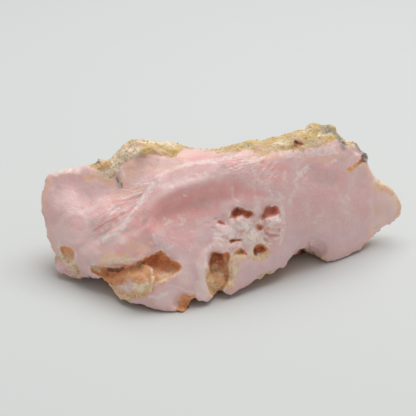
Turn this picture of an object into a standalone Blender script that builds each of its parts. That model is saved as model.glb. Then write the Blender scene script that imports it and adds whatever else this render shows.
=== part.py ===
"""A rough piece of pink opal: one broken lump, lying on its underside.

The stone is lofted through guide lines that run from its left end to its right end: the lower edge, the
ridge across the front, the upper edge and so on, once round the stone. Hollows and bosses are then pushed
into the loft, the rind is roughened, the mesh is thinned, and the underside is cut level where it stands.

Lengths are in millimetres until the mesh is made, which is in metres. +X runs along the stone, +Y goes away
from its broken front face, and +Z is up.
"""

import math

import bmesh
import bpy
import numpy as np
from mathutils import Vector, noise
from mathutils.bvhtree import BVHTree

NODE = "rough_pink_opal"
MM = 0.001

# Driving dimensions. The front guide lines are sketched on a sheet that leans back, square to a sight line,
# because a broken face is easiest to draw as it looks. A sketched point is (across, up, depth): where it is
# on the sheet, and how far back in Y the stone's surface lies behind that spot.
SHEET_TILT = math.radians(25)  # how far the sight line looks down
EYE_DISTANCE = 320.0  # from the eye to the middle of the sheet
SHEET_MIDDLE = np.array([-3.2, 0.0, 14.6])  # where the sheet's middle is in the stone's own frame

SPACING = 0.35  # between neighbouring points of the loft
NEAR_LAYER = 5.0  # a bite or a boss reaches only this far in front of and behind its mouth
SHARP_ANGLE = math.radians(50)  # edges that turn more than this stay crisp
WALL_SHARE = 0.4  # the share of a bite's radius that its steep wall takes
WALL_DEPTH = 0.75  # the share of a bite's depth that its steep wall reaches
RAGGED = 0.22  # how far a bite's outline strays, as a share of its radius

# Relief: wavelengths, sizes and heights.
SCALLOP_SIZE = 8.0
SCALLOP_STRETCH = (0.6, 1.0, 1.0)  # the scallops are longer along the stone
SCALLOP_HEIGHT = 0.45  # on the front; the rear and the underside are rougher
REAR_SCALLOP_HEIGHT = 1.0
WAVE_SIZE = 3.5
WAVE_HEIGHT = 0.18
LUMP_SIZE = 3.6
LUMP_HEIGHT = 0.7
GRAIN_SIZE = 2.0
GRAIN_HEIGHT = 0.6
RIND_THICKNESS = 0.1
SCALLOP_MEAN = 0.4  # taken off, so that the scallops leave the stone's size as it is
FRONT_REACH = 0.7  # the rind is grainy where it faces the front or upwards

# The finished solid's triangles. Plainness runs from 0, spared by the thinning, to 1, thinned first.
MOST_TRIANGLES = 9600
THINNING_BIAS = 0.3
CARVED_PLAINNESS = 0.15
FRONT_PLAINNESS = 0.5
REAR_PLAINNESS = 1.0

OPAL_PINK = (0.56, 0.33, 0.31, 1.0)
OPAL_ROUGHNESS = 0.45
OPAL_IOR = 1.45

SEED_STEP = Vector((7.3, 3.1, 5.7))  # each seed reads the noise somewhere else

RIGHT = np.array([1.0, 0.0, 0.0])
SIGHT = np.array([0.0, math.cos(SHEET_TILT), -math.sin(SHEET_TILT)])
UP_SHEET = np.array([0.0, math.sin(SHEET_TILT), math.cos(SHEET_TILT)])
EYE = SHEET_MIDDLE - EYE_DISTANCE * SIGHT


def sketched(*points):
    """Points given as (across, up, depth) on the sheet, in the stone's own frame."""
    across, up, depth = np.array(points, float).T
    on_sheet = SHEET_MIDDLE + np.outer(across, RIGHT) + np.outer(up, UP_SHEET)
    reach = (depth - EYE[1]) / (on_sheet[:, 1] - EYE[1])
    return EYE + reach[:, None] * (on_sheet - EYE)


def measured(*points):
    """Points given as (x, y, z) in the stone's own frame, for the sides that the sheet doesn't show."""
    return np.array(points, float)


# Guide lines, once round the stone: front lower edge, up the front, over the top, down the back, and under.
# Each is (name, points from left to right, edge). The edge is (x, sharpness) pairs along the line, and the
# sharpness runs from 0, rounded over, to 1, a crisp ridge.
GUIDES = [
    (
        "hem",
        sketched(
            (-30.0, -11.8, -1.0), (-28.4, -13.2, -3.0), (-26.6, -14.2, -5.0), (-23.2, -13.8, -6.5),
            (-19.6, -15.4, -10.0), (-18.8, -17.4, -12.0), (-16.0, -19.0, -14.8), (-12.4, -20.0, -16.3),
            (-8.6, -21.0, -17.0),
            (-5.4, -20.6, -16.6), (-3.6, -18.4, -15.4), (0.2, -19.2, -14.5), (1.8, -16.8, -13.0),
            (4.6, -17.6, -11.5), (7.0, -16.2, -10.0), (10.8, -13.8, -7.0), (15.4, -11.4, -3.5),
            (18.4, -8.0, -0.3), (21.4, -10.0, 2.5), (26.8, -10.7, 6.0), (30.0, -8.8, 8.5),
            (31.9, -7.4, 10.2), (32.9, -5.8, 11.8),
        ),
        [(-20.0, 0.5), (-10.0, 0.8)],
    ),
    (
        "low",
        sketched(
            (-30.4, -10.2, 0.0), (-26.0, -12.6, -6.0), (-20.6, -13.4, -9.5), (-14.6, -15.4, -14.5),
            (-9.6, -13.4, -15.8), (-3.6, -10.8, -14.0), (2.4, -9.4, -11.5), (9.4, -7.4, -7.2),
            (18.4, -5.4, -1.2), (26.4, -4.8, 4.2), (33.4, -4.2, 12.2),
        ),
        [(0.0, 0.0)],
    ),
    (
        "belly",
        sketched(
            (-30.9, -8.4, 0.5), (-26.6, -10.8, -6.0), (-21.6, -11.6, -9.0), (-15.6, -10.8, -13.0),
            (-11.6, -6.4, -13.2), (-8.6, -2.8, -10.8), (-3.6, -1.0, -9.0), (2.4, -0.4, -8.2),
            (10.4, 1.6, -5.0), (18.4, 2.0, -0.8), (26.4, 2.6, 4.6), (33.4, 1.6, 11.0),
        ),
        [(0.0, 0.0)],
    ),
    (
        "ridge",
        sketched(
            (-32.2, -4.8, 1.0), (-29.2, -7.4, -3.5), (-25.6, -8.8, -6.5), (-21.0, -8.8, -9.0),
            (-17.6, -7.8, -11.0), (-15.4, -6.0, -12.0), (-13.4, -3.4, -12.0), (-11.6, -0.4, -11.0),
            (-10.0, 1.4, -10.5), (-7.6, 3.2, -10.0), (-3.6, 4.9, -8.8), (1.4, 6.4, -6.9), (6.0, 8.4, -4.8),
            (10.8, 10.6, -1.4), (16.4, 11.6, 1.8), (22.4, 12.6, 4.8), (26.4, 13.0, 7.2), (30.6, 10.6, 10.2),
            (32.6, 7.6, 11.8),
        ),
        [(-24.0, 0.0), (-15.0, 0.55), (-10.0, 0.75), (14.0, 0.7), (24.0, 0.35)],
    ),
    (
        "shelf",
        sketched(
            (-32.9, -0.4, 3.0), (-29.6, -1.4, -1.0), (-24.6, -2.0, -3.5), (-20.0, -1.4, -5.5),
            (-16.0, 0.0, -6.0), (-12.6, 3.6, -5.0), (-8.6, 6.2, -5.0), (-2.6, 8.2, -4.5), (3.4, 10.0, -2.5),
            (8.4, 11.6, -0.5), (16.4, 13.2, 4.0), (23.4, 14.4, 7.0), (27.4, 12.8, 9.0), (32.2, 8.0, 12.5),
        ),
        [(0.0, 0.0)],
    ),
    (
        "upper",
        sketched(
            (-32.8, 3.6, 4.8), (-29.2, 3.6, 3.0), (-24.6, 3.2, 2.0), (-20.0, 3.6, 1.0), (-15.6, 4.6, -0.5),
            (-11.6, 7.2, -1.5), (-6.6, 8.6, -1.0), (-1.6, 10.0, 0.0), (3.4, 11.2, 1.0), (8.4, 12.6, 2.0),
            (16.4, 14.2, 6.5), (22.8, 15.8, 8.8), (27.0, 13.2, 10.5), (32.0, 8.4, 13.0),
        ),
        [(0.0, 0.0)],
    ),
    (
        "crown",
        sketched(
            (-31.6, 6.8, 6.0), (-29.2, 7.6, 6.0), (-25.6, 8.0, 6.0), (-21.6, 9.4, 6.5), (-19.0, 11.2, 6.0),
            (-15.6, 13.2, 5.5), (-12.0, 13.6, 5.5), (-8.0, 12.6, 5.5), (-4.2, 11.4, 5.0), (1.4, 11.8, 5.0),
            (6.4, 12.6, 5.5), (10.8, 13.6, 6.5), (15.4, 14.4, 8.0), (19.4, 15.8, 9.5), (22.4, 16.9, 10.5),
            (24.6, 16.4, 11.0), (27.0, 13.2, 12.0), (28.8, 13.1, 12.5), (30.8, 11.8, 13.0),
            (31.8, 9.2, 14.0),
        ),
        [(-30.0, 0.1), (-20.0, 0.4)],
    ),
    (
        "back_top",
        measured(
            (-34.0, 8.6, 18.5), (-25.0, 11.0, 19.5), (-14.0, 12.0, 23.0), (-5.0, 12.5, 22.0),
            (8.0, 12.0, 23.0), (18.0, 14.0, 26.0), (26.0, 15.0, 22.5), (30.6, 15.5, 16.2),
        ),
        [(0.0, 0.2)],
    ),
    (
        "back_neck",
        measured(
            (-34.8, 8.6, 15.8), (-24.5, 12.6, 17.0), (-10.0, 14.6, 19.5), (9.0, 14.8, 20.5),
            (22.0, 16.0, 20.0), (31.0, 16.4, 13.6),
        ),
        [(0.0, 0.2)],
    ),
    (
        "back_high",
        measured(
            (-35.2, 8.5, 13.0), (-24.0, 14.0, 14.0), (-8.0, 16.0, 15.5), (10.0, 16.5, 17.0),
            (24.0, 17.0, 15.0), (31.6, 16.8, 10.6),
        ),
        [(0.0, 0.2)],
    ),
    (
        "back_low",
        measured(
            (-34.0, 7.0, 6.0), (-22.0, 14.0, 6.0), (-5.0, 17.0, 6.5), (12.0, 16.8, 7.0), (26.0, 16.5, 6.5),
            (32.0, 16.6, 6.8),
        ),
        [(0.0, 0.3)],
    ),
    (
        "back_hem",
        measured(
            (-31.0, 4.0, 2.5), (-18.0, 11.0, 0.8), (0.0, 13.5, 0.2), (15.0, 13.5, 0.2), (26.0, 14.5, 1.0),
            (32.2, 15.4, 3.2),
        ),
        [(0.0, 0.4)],
    ),
    (
        "under",
        measured(
            (-30.5, 2.5, 2.2), (-22.0, 3.0, 1.4), (-12.0, 2.0, 1.6), (0.0, 2.0, 1.2), (14.0, 6.5, 1.0),
            (24.0, 10.5, 0.6), (31.5, 13.5, 2.4),
        ),
        [(0.0, 0.0)],
    ),
]

# Beyond the guide lines, the ends close through smaller sections: (share of the last ring's size, x, y, z).
LEFT_END = ((0.75, -35.3, 4.4, 11.0), (0.4, -36.0, 4.4, 11.0), (0.04, -36.3, 4.4, 11.0))
TIP = (
    (0.84, 32.0, 14.2, 8.7), (0.7, 32.8, 14.6, 8.4), (0.61, 34.0, 14.9, 8.3), (0.5, 35.6, 15.1, 8.3),
    (0.32, 37.0, 15.2, 8.2), (0.04, 37.9, 15.2, 8.1),
)

# Hollows broken or dissolved into the front, each a few overlapping bites. A bite is (across, up, half width,
# half height, depth, lean) on the sheet; it goes in along the sight line, and lean turns it upwards.
HOLLOWS = {
    "long hollow under the lip": (
        (-8.6, -11.6, 2.7, 2.3, 2.6, 0.1), (-11.2, -10.8, 1.9, 1.5, 3.4, 0.2),
        (-15.6, -12.3, 3.5, 1.1, 3.0, 0.5),
        (-19.2, -12.9, 2.8, 1.2, 2.2, 0.3), (-22.2, -12.2, 1.6, 0.8, 0.8, 0.2),
        (-17.8, -15.6, 2.2, 2.4, 1.3, 0.0),
    ),
    "tall hollow": (
        (1.5, -10.7, 1.9, 2.3, 4.0, 0.3), (2.4, -13.2, 2.7, 3.0, 2.6, 0.1), (1.5, -16.2, 1.8, 1.9, 2.0, 0.0),
    ),
    "honeycomb": (
        (7.8, -4.0, 6.6, 4.4, 0.5, 0.0), (5.6, -1.1, 1.2, 1.3, 2.8, 0.2), (7.0, -0.9, 1.1, 0.7, 2.4, 0.2),
        (8.2, -1.5, 1.0, 0.9, 2.2, 0.2), (12.5, -0.7, 1.9, 1.3, 3.0, 0.2), (11.2, -1.9, 0.9, 1.0, 2.6, 0.2),
        (2.5, -2.8, 1.0, 0.6, 1.3, 0.0), (10.2, -3.9, 0.8, 0.8, 1.8, 0.0), (12.9, -5.0, 1.8, 1.0, 1.2, 0.0),
        (5.5, -6.6, 1.5, 0.7, 1.4, 0.3), (6.9, -4.6, 0.7, 0.5, 0.9, 0.0), (11.7, -6.2, 0.9, 0.6, 0.9, 0.0),
        (6.4, -8.8, 1.5, 0.9, 1.6, 0.1), (10.2, -8.4, 1.4, 1.2, 2.8, 0.1), (10.7, -9.7, 1.9, 1.0, 0.7, 0.0),
    ),
    "left hollow": (
        (-28.2, -9.2, 1.9, 1.9, 2.0, 0.1), (-26.8, -12.6, 1.5, 1.6, 0.9, 0.0),
        (-29.8, -10.8, 1.0, 0.9, 1.0, 0.0),
    ),
    "foot hollow": ((-5.2, -18.6, 2.3, 1.5, 2.2, 0.0),),
    "arch under the right half": ((20.8, -8.8, 2.8, 1.8, 3.2, 0.2),),
    "holes in the rind": ((18.0, 12.9, 1.1, 0.8, 1.4, 0.0), (30.9, 9.9, 1.0, 1.1, 1.0, 0.0)),
}

# Long shallow troughs and ribs of the fracture: (points across and up on the sheet, half width, depth). A
# negative depth raises a rib.
STROKES = (
    (((-10.4, -2.2), (-6.6, 0.4), (-1.0, 1.8), (5.0, 3.0)), 3.4, 1.0),  # the band under the ridge
    (((-11.4, -0.8), (-8.8, 2.4), (-4.0, 4.6), (1.8, 6.4)), 0.9, -0.3),  # the lip of the ridge
    (((-10.4, 5.6), (-6.0, 8.2), (-2.6, 8.9), (1.4, 9.4), (5.4, 10.4)), 0.7, -0.2),  # the seam above the lip
    (((-8.0, 8.8), (-2.0, 10.2), (4.4, 11.4)), 1.0, 0.3),  # the strip behind the seam
    (((-23.0, -6.6), (-19.0, -3.6), (-15.0, -0.4), (-11.6, 4.4)), 1.0, 0.5),  # splinters
    (((-21.0, -6.8), (-16.4, -3.8), (-12.6, -0.6)), 0.8, -0.45),
    (((-20.0, -0.6), (-15.6, 0.8), (-11.0, 3.0)), 0.7, 0.45),
    (((-23.6, -2.0), (-18.4, 0.6), (-12.6, 5.2)), 1.2, -0.3),
    (((-17.6, -5.0), (-13.0, -1.6), (-10.4, 1.4)), 0.8, 0.35),
    (((-29.6, -3.0), (-29.8, -7.0)), 1.6, 0.45),  # round the swelling on the left
    (((-29.4, -1.6), (-27.0, 0.0), (-24.2, -1.6), (-23.6, -5.6), (-24.8, -8.0)), 1.4, 0.4),
    (((-27.0, -3.4), (-26.6, -6.0)), 2.4, -0.5),
    (((-27.6, 4.4), (-22.8, 1.2), (-18.8, 4.0)), 4.0, 0.8),  # the bowl of the left face
    (((-18.0, 8.2), (-17.6, 5.0)), 1.0, -0.5),  # the spur below the rind
    (((14.6, 10.6), (12.6, 5.4), (11.4, 1.0)), 1.1, -0.25),  # waves across the right half
    (((20.0, 10.0), (16.6, 6.0), (16.0, 0.0)), 3.4, 0.3),
    (((25.0, 8.0), (22.4, 2.0), (20.6, -3.0)), 4.0, -0.25),
    (((29.6, 5.6), (28.4, 0.0), (26.4, -4.6)), 3.0, 0.25),
    (((-22.0, -9.4), (-18.0, -9.8), (-13.6, -9.6)), 2.4, -0.5),  # the brow above the long hollow
    (((-24.6, -11.0), (-22.8, -13.6)), 1.2, -0.4),
    (((-10.0, -9.0), (-12.6, -5.4), (-16.0, -4.6)), 2.0, 0.4),
)

# Rounded lumps that stand out of the front: (across, up, radius, height).
BOSSES = (
    (-13.8, -14.6, 3.0, 1.9),  # the ball in the long hollow
    (-17.4, -14.9, 1.8, 0.6),
    (12.8, -3.2, 1.3, 1.1),  # the white knob in the honeycomb
    (6.8, -2.8, 1.6, 0.4),
    (-24.8, -9.5, 3.0, 0.3),  # swellings of the lower left lip
    (-17.0, -10.6, 4.0, 0.4),
)

# Where the rind's lower edge runs across the front: (across, up) on the sheet, from left to right.
RIND_EDGE = np.array([
    (-26.0, 9.0), (-24.2, 6.8), (-21.0, 6.0), (-18.4, 6.6), (-17.6, 8.0), (-14.6, 9.4), (-11.6, 10.4),
    (-8.0, 9.8), (-4.2, 11.6), (-0.8, 11.7), (7.6, 11.4), (10.2, 10.6), (13.8, 11.4), (19.0, 11.7),
    (22.6, 12.8), (25.4, 13.1), (27.8, 12.0), (29.6, 11.4), (31.6, 9.0),
])


PLACE_OF = {name: place for place, (name, _, _) in enumerate(GUIDES)}
CROWN_PLACE = PLACE_OF["crown"]
UNDER_PLACE = PLACE_OF["under"]


def smooth_line(points, at):
    """The line through the points, at shares of its width in X between 0 and 1, as a smooth curve."""
    share = (points[:, 0] - points[0, 0]) / (points[-1, 0] - points[0, 0])
    slope = np.gradient(points, share, axis=0)
    i = np.clip(np.searchsorted(share, at, side="right") - 1, 0, len(share) - 2)
    step = (share[i + 1] - share[i])[:, None]
    s = ((at - share[i])[:, None]) / step
    return hermite(points[i], points[i + 1], slope[i] * step, slope[i + 1] * step, s)


def hermite(start, end, leave, arrive, s):
    return (
        (2 * s**3 - 3 * s**2 + 1) * start
        + (s**3 - 2 * s**2 + s) * leave
        + (3 * s**2 - 2 * s**3) * end
        + (s**3 - s**2) * arrive
    )


def loft():
    """The skin through all the guide lines: (points by station and place round the stone, ring places)."""
    length = max(np.ptp(points[:, 0]) for _, points, _ in GUIDES)
    shares = np.linspace(0, 1, round(length / SPACING) + 1)
    lines = np.array([smooth_line(points, shares) for _, points, _ in GUIDES])
    edges = [np.interp(line[:, 0], *np.array(edge).T)[:, None] for line, (_, _, edge) in zip(lines, GUIDES)]
    before, after = np.roll(lines, 1, axis=0), np.roll(lines, -1, axis=0)
    across = (after - before) / 2
    rings, places = [], []
    for i in range(len(GUIDES)):
        j = (i + 1) % len(GUIDES)
        chord = lines[j] - lines[i]
        leave = across[i] * (1 - edges[i]) + chord * edges[i]
        arrive = across[j] * (1 - edges[j]) + chord * edges[j]
        count = max(2, round(np.linalg.norm(chord, axis=1).mean() / SPACING))
        for k in range(count):
            rings.append(hermite(lines[i], lines[j], leave, arrive, k / count))
            places.append(i + k / count)
    grid = np.array(rings).transpose(1, 0, 2)  # stations by points round the stone
    grid = np.concatenate([end_rings(grid[0], LEFT_END)[::-1], grid, end_rings(grid[-1], TIP)])
    return grid, np.array(places)


def end_rings(ring, sections):
    """The outermost ring carried on through smaller and smaller sections, to close an end."""
    middle = ring.mean(axis=0)
    width = np.linalg.norm(ring - middle, axis=1).mean()
    stops = np.array([(1.0, *middle), *sections])
    steps = np.linalg.norm(np.diff(stops * (width, 1, 1, 1), axis=0), axis=1)
    along = np.concatenate([[0], np.cumsum(steps)])
    at = np.linspace(0, along[-1], round(along[-1] / SPACING) + 1)[1:]
    share, x, y, z = (np.interp(at, along, column) for column in stops.T)
    centres = np.column_stack([x, y, z])
    return centres[:, None] + share[:, None, None] * (ring - middle)


def skin(grid):
    """A mesh of the loft's grid, closed at both ends."""
    stations, around = grid.shape[:2]
    index = np.arange(stations * around).reshape(stations, around)
    right = np.roll(index, -1, axis=1)
    quads = np.stack([index[:-1], index[1:], right[1:], right[:-1]], axis=-1).reshape(-1, 4)
    faces = [*quads.tolist(), index[0].tolist(), index[-1][::-1].tolist()]
    mesh = bpy.data.meshes.new(NODE)
    mesh.from_pydata(grid.reshape(-1, 3).tolist(), [], faces)
    return mesh


def points_of(mesh):
    points = np.empty(len(mesh.vertices) * 3, np.float32)
    mesh.vertices.foreach_get("co", points)
    return points.reshape(-1, 3).astype(float)


def normals_of(mesh):
    normals = np.empty(len(mesh.vertices) * 3, np.float32)
    mesh.vertex_normals.foreach_get("vector", normals)
    return normals.reshape(-1, 3).astype(float)


def put(mesh, points):
    mesh.vertices.foreach_set("co", points.astype(np.float32).ravel())
    mesh.update()


def on_sheet(points):
    """(across, up) of each point where the sight lines through them meet the sheet."""
    away = points - EYE
    seen = EYE + away * (EYE_DISTANCE / (away @ SIGHT))[:, None] - SHEET_MIDDLE
    return seen @ RIGHT, seen @ UP_SHEET


def mouth(tree, across, up):
    """Where the sight line through a spot on the sheet first meets the stone."""
    target = SHEET_MIDDLE + across * RIGHT + up * UP_SHEET
    hit = tree.ray_cast(Vector(EYE), Vector(target - EYE))[0]
    if hit is None:
        raise ValueError(f"the sight line at {across}, {up} misses the stone")
    return np.array(hit)


def wobble(points, wavelength, seed):
    """Smooth noise from about -1 to 1 at each point."""
    offset = seed * SEED_STEP
    return np.array([noise.noise(Vector(p) / wavelength + offset) for p in points])


def scallops(points, size, seed):
    """0 in the middle of each shallow scallop, rising to about 1 at the ridges between scallops."""
    offset = seed * SEED_STEP
    nearest = np.array([noise.voronoi(Vector(p) / size + offset)[0][0] for p in points])
    return np.minimum(nearest, 1.0) ** 2


def smoothstep(value):
    value = np.clip(value, 0, 1)
    return value * value * (3 - 2 * value)


def hollow_push(points, tree):
    """Each point's way into the deepest bite that reaches it."""
    push = np.zeros_like(points)
    deepest = np.zeros(len(points))
    ragged = RAGGED * wobble(points, 1.3, seed=3)
    for bites in HOLLOWS.values():
        for across, up, half_width, half_height, depth, lean in bites:
            offset = points - mouth(tree, across, up)
            radius = np.hypot(offset @ RIGHT / half_width, offset @ UP_SHEET / half_height) + ragged
            inside = 1 - radius
            inside[np.abs(offset @ SIGHT) > NEAR_LAYER] = -1
            wall, floor = smoothstep(inside / WALL_SHARE), np.clip(inside, 0, 1)
            reach = depth * (WALL_DEPTH * wall + (1 - WALL_DEPTH) * floor)
            into = (SIGHT + lean * UP_SHEET) / math.hypot(1, lean)
            wins = (inside > 0) & (reach > deepest)
            deepest[wins] = reach[wins]
            push[wins] = reach[wins, None] * into
    return push


def stroke_push(points, normals):
    """Troughs and ribs, pressed square to the surface where it faces the sheet."""
    across, up = on_sheet(points)
    seen = np.column_stack([across, up])
    total = np.zeros(len(points))
    for corners, half_width, depth in STROKES:
        line = np.array(corners)
        away = np.full(len(points), np.inf)
        for start, end in zip(line[:-1], line[1:]):
            run = end - start
            share = np.clip((seen - start) @ run / (run @ run), 0, 1)
            away = np.minimum(away, np.linalg.norm(seen - start - share[:, None] * run, axis=1))
        total += depth * smoothstep(1 - away / half_width)
    facing = smoothstep(-(normals @ SIGHT) / 0.5)
    return -(total * facing)[:, None] * normals


def boss_push(points, tree):
    """Bosses rise back along the sight line."""
    push = np.zeros_like(points)
    for across, up, radius, height in BOSSES:
        offset = points - mouth(tree, across, up)
        share = np.hypot(offset @ RIGHT, offset @ UP_SHEET) / radius
        share[np.abs(offset @ SIGHT) > NEAR_LAYER] = 1
        push -= (height * np.sqrt(np.clip(1 - share**2, 0, 1)))[:, None] * SIGHT
    return push


def rind_share(points, places):
    """1 where the stone wears its rind, which covers the top and the back, and 0 on broken opal."""
    across, up = on_sheet(points)
    above = smoothstep((up - np.interp(across, *RIND_EDGE.T)) / 0.5 + 0.5)
    behind = smoothstep((places - CROWN_PLACE) / 0.5) * smoothstep((UNDER_PLACE - places) / 0.7)
    bare = smoothstep((wobble(points, 9.0, seed=11) - 0.12) / 0.1) * smoothstep(places - CROWN_PLACE - 0.5)
    ends = smoothstep((points[:, 0] - 31.5) / 2.0) + smoothstep((-26.0 - points[:, 0]) / 4.0)
    return np.clip(np.maximum(above * (places < UNDER_PLACE), behind) - bare - ends, 0, 1)


def roughen(points, normals, rind):
    """Shallow scallops on the broken opal, and lumps and grains on the rind."""
    rear = smoothstep(normals @ SIGHT)
    front = smoothstep(FRONT_REACH - normals @ SIGHT)
    scallop_height = SCALLOP_HEIGHT + (REAR_SCALLOP_HEIGHT - SCALLOP_HEIGHT) * rear
    broken = scallop_height * (scallops(points * SCALLOP_STRETCH, SCALLOP_SIZE, seed=5) - SCALLOP_MEAN)
    broken += WAVE_HEIGHT * wobble(points, WAVE_SIZE, seed=2)
    crusty = RIND_THICKNESS + LUMP_HEIGHT * wobble(points, LUMP_SIZE, seed=7)
    crusty += GRAIN_HEIGHT * (0.2 + 0.8 * front) * wobble(points, GRAIN_SIZE, seed=8)
    return points + (broken * (1 - rind) + crusty * rind)[:, None] * normals


def thinned(mesh, plainness):
    """The mesh with fewer triangles: fewest where it is flat, and fewer where it is plain."""
    stone = bpy.data.objects.new(NODE, mesh)
    bpy.context.scene.collection.objects.link(stone)
    mesh.calc_loop_triangles()
    group = stone.vertex_groups.new(name="plain")
    for index, weight in enumerate(plainness):
        group.add([index], weight, "REPLACE")
    thin = stone.modifiers.new("thin", "DECIMATE")
    thin.vertex_group = group.name
    thin.vertex_group_factor = THINNING_BIAS
    thin.ratio = MOST_TRIANGLES / len(mesh.loop_triangles)
    thin.use_collapse_triangulate = True
    graph = bpy.context.evaluated_depsgraph_get()
    result = bpy.data.meshes.new_from_object(stone.evaluated_get(graph))
    bpy.data.objects.remove(stone)
    return result


def stand_level(mesh):
    """The stone in metres, cut level where it stands, with the middle of its base at the origin."""
    bm = bmesh.new()
    bm.from_mesh(mesh)
    everything = [*bm.verts, *bm.edges, *bm.faces]
    ground = {"plane_co": (0, 0, 0), "plane_no": (0, 0, -1)}
    cut = bmesh.ops.bisect_plane(bm, geom=everything, clear_outer=True, **ground)
    rim = [part for part in cut["geom_cut"] if isinstance(part, bmesh.types.BMEdge)]
    bmesh.ops.holes_fill(bm, edges=rim, sides=0)
    bmesh.ops.triangulate(bm, faces=bm.faces)
    bmesh.ops.recalc_face_normals(bm, faces=bm.faces)
    if bm.calc_volume(signed=True) < 0:
        bmesh.ops.reverse_faces(bm, faces=bm.faces)
    corners = np.array([vert.co for vert in bm.verts])
    middle = (corners.min(axis=0) + corners.max(axis=0)) / 2
    bmesh.ops.translate(bm, vec=(-middle[0], -middle[1], 0), verts=bm.verts)
    bmesh.ops.scale(bm, vec=(MM, MM, MM), verts=bm.verts)
    bm.to_mesh(mesh)
    bm.free()
    print("moved by", middle[:2].round(2), "mm to stand in the middle")


def opal():
    """Waxy pink opal."""
    material = bpy.data.materials.new("pink_opal")
    material.use_nodes = True
    shader = material.node_tree.nodes["Principled BSDF"]
    shader.inputs["Base Color"].default_value = OPAL_PINK
    shader.inputs["Roughness"].default_value = OPAL_ROUGHNESS
    shader.inputs["IOR"].default_value = OPAL_IOR
    return material


def main():
    for obj in list(bpy.data.objects):
        bpy.data.objects.remove(obj)
    grid, around = loft()
    mesh = skin(grid)
    rest, normals = points_of(mesh), normals_of(mesh)
    places = np.tile(around, len(grid))
    tree = BVHTree.FromPolygons(rest.tolist(), [tuple(face.vertices) for face in mesh.polygons])
    carved = hollow_push(rest, tree) + boss_push(rest, tree)
    rough = roughen(rest, normals, rind_share(rest, places)) + stroke_push(rest, normals)
    put(mesh, rough + carved)
    is_carved = np.linalg.norm(carved, axis=1) > 0
    uncarved = FRONT_PLAINNESS + (REAR_PLAINNESS - FRONT_PLAINNESS) * smoothstep(normals @ SIGHT)
    mesh = thinned(mesh, np.where(is_carved, CARVED_PLAINNESS, uncarved))
    stand_level(mesh)
    mesh.materials.append(opal())
    mesh.shade_smooth()
    mesh.set_sharp_from_angle(angle=SHARP_ANGLE)
    stone = bpy.data.objects.new(NODE, mesh)
    bpy.context.scene.collection.objects.link(stone)
    print(len(mesh.polygons), "triangles")


main()
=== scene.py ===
# %% [markdown]
# # Rough pink opal
#
# A broken lump of waxy pink opal, about as long as a thumb, with the crumbly tan rind it grew in still on its
# top and back. A stone is one solid with no parts to put together, so the lesson is about surface: how a
# smooth break, a sponge of small pits and a gritty rind sit side by side on one closed mesh, and how soft
# brush marks tell a single material where each of them is.
#
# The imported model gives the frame. Everything below is made round it, in the same place and in metres.

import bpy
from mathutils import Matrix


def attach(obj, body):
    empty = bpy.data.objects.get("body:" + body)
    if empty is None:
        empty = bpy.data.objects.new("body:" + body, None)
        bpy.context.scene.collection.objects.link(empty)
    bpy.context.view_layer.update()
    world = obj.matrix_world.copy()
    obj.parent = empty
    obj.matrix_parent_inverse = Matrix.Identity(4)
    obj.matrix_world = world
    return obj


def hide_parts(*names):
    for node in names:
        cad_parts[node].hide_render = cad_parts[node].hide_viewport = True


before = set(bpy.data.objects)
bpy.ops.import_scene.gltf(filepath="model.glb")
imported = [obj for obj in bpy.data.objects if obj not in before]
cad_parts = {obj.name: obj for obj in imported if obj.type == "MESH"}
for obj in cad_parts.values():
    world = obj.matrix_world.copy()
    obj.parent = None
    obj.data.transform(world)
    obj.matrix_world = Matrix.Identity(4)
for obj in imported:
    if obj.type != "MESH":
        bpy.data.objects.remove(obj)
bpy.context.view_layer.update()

# %% [markdown]
# ## The drawing sheet and the camera
#
# The broken face of the stone is uneven, so there is no plane on it to draw on. Marks are drawn instead on a
# flat sheet in front of it that leans back 25 degrees, and each one lands where the sight line through it
# meets the stone, as with a slide projector. The camera could stand anywhere, but when it looks down the
# same sight line, a mark on the sheet and its place in the picture are the same thing, which makes every
# later number easy to read. Points on the sheet are (across, up) in millimetres from its middle.

# %% Set up the sheet and the camera
import math

import bmesh
import bpy
import numpy as np
from mathutils import Vector, noise
from mathutils.bvhtree import BVHTree

MM = 0.001
SHEET_TILT = math.radians(25)
SHEET_WIDTH = 83.2  # what the camera takes in at the sheet
EYE_DISTANCE = 320.0
SHEET_MIDDLE = np.array([-3.54, -0.27, 14.6])

RIGHT = np.array([1.0, 0.0, 0.0])
SIGHT = np.array([0.0, math.cos(SHEET_TILT), -math.sin(SHEET_TILT)])
UP_SHEET = np.array([0.0, math.sin(SHEET_TILT), math.cos(SHEET_TILT)])
EYE = SHEET_MIDDLE - EYE_DISTANCE * SIGHT

camera = bpy.data.objects.new("camera", bpy.data.cameras.new("camera"))
camera.data.sensor_width = 36.0
camera.data.lens = camera.data.sensor_width * EYE_DISTANCE / SHEET_WIDTH
camera.data.clip_start = 0.01
camera.location = Vector(EYE * MM)
camera.rotation_euler = (math.pi / 2 - SHEET_TILT, 0.0, 0.0)
bpy.context.scene.collection.objects.link(camera)
bpy.context.scene.camera = camera
print("camera", [round(v, 3) for v in camera.location], "lens", round(camera.data.lens, 1), "mm")

# %% [markdown]
# ## A pale floor and soft light
#
# Stones are best shown on a plain pale floor under a broad soft light. A light tent could be built, but a
# pale world and one large lamp do the same. The lamp is above and a little behind on the right, so the top of
# the stone is brightest and a soft shadow falls towards the viewer and to the left. The plain view transform
# keeps the pinks as they are set.

# %% Lay the floor and light it
FLOOR_WIDTH = 4.0
FLOOR_COLOUR = (0.66, 0.68, 0.67, 1.0)
SKY_COLOUR = (1.0, 1.0, 0.99, 1.0)
SKY_STRENGTH = 0.39
LAMP_PLACE = Vector((0.06, 0.10, 0.50))
LAMP_WIDTH = 0.50
LAMP_WATTS = 2.35


def new_material(name):
    """A material with nothing in it but its shader."""
    material = bpy.data.materials.new(name)
    material.use_nodes = True
    return material, material.node_tree.nodes["Principled BSDF"]


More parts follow.
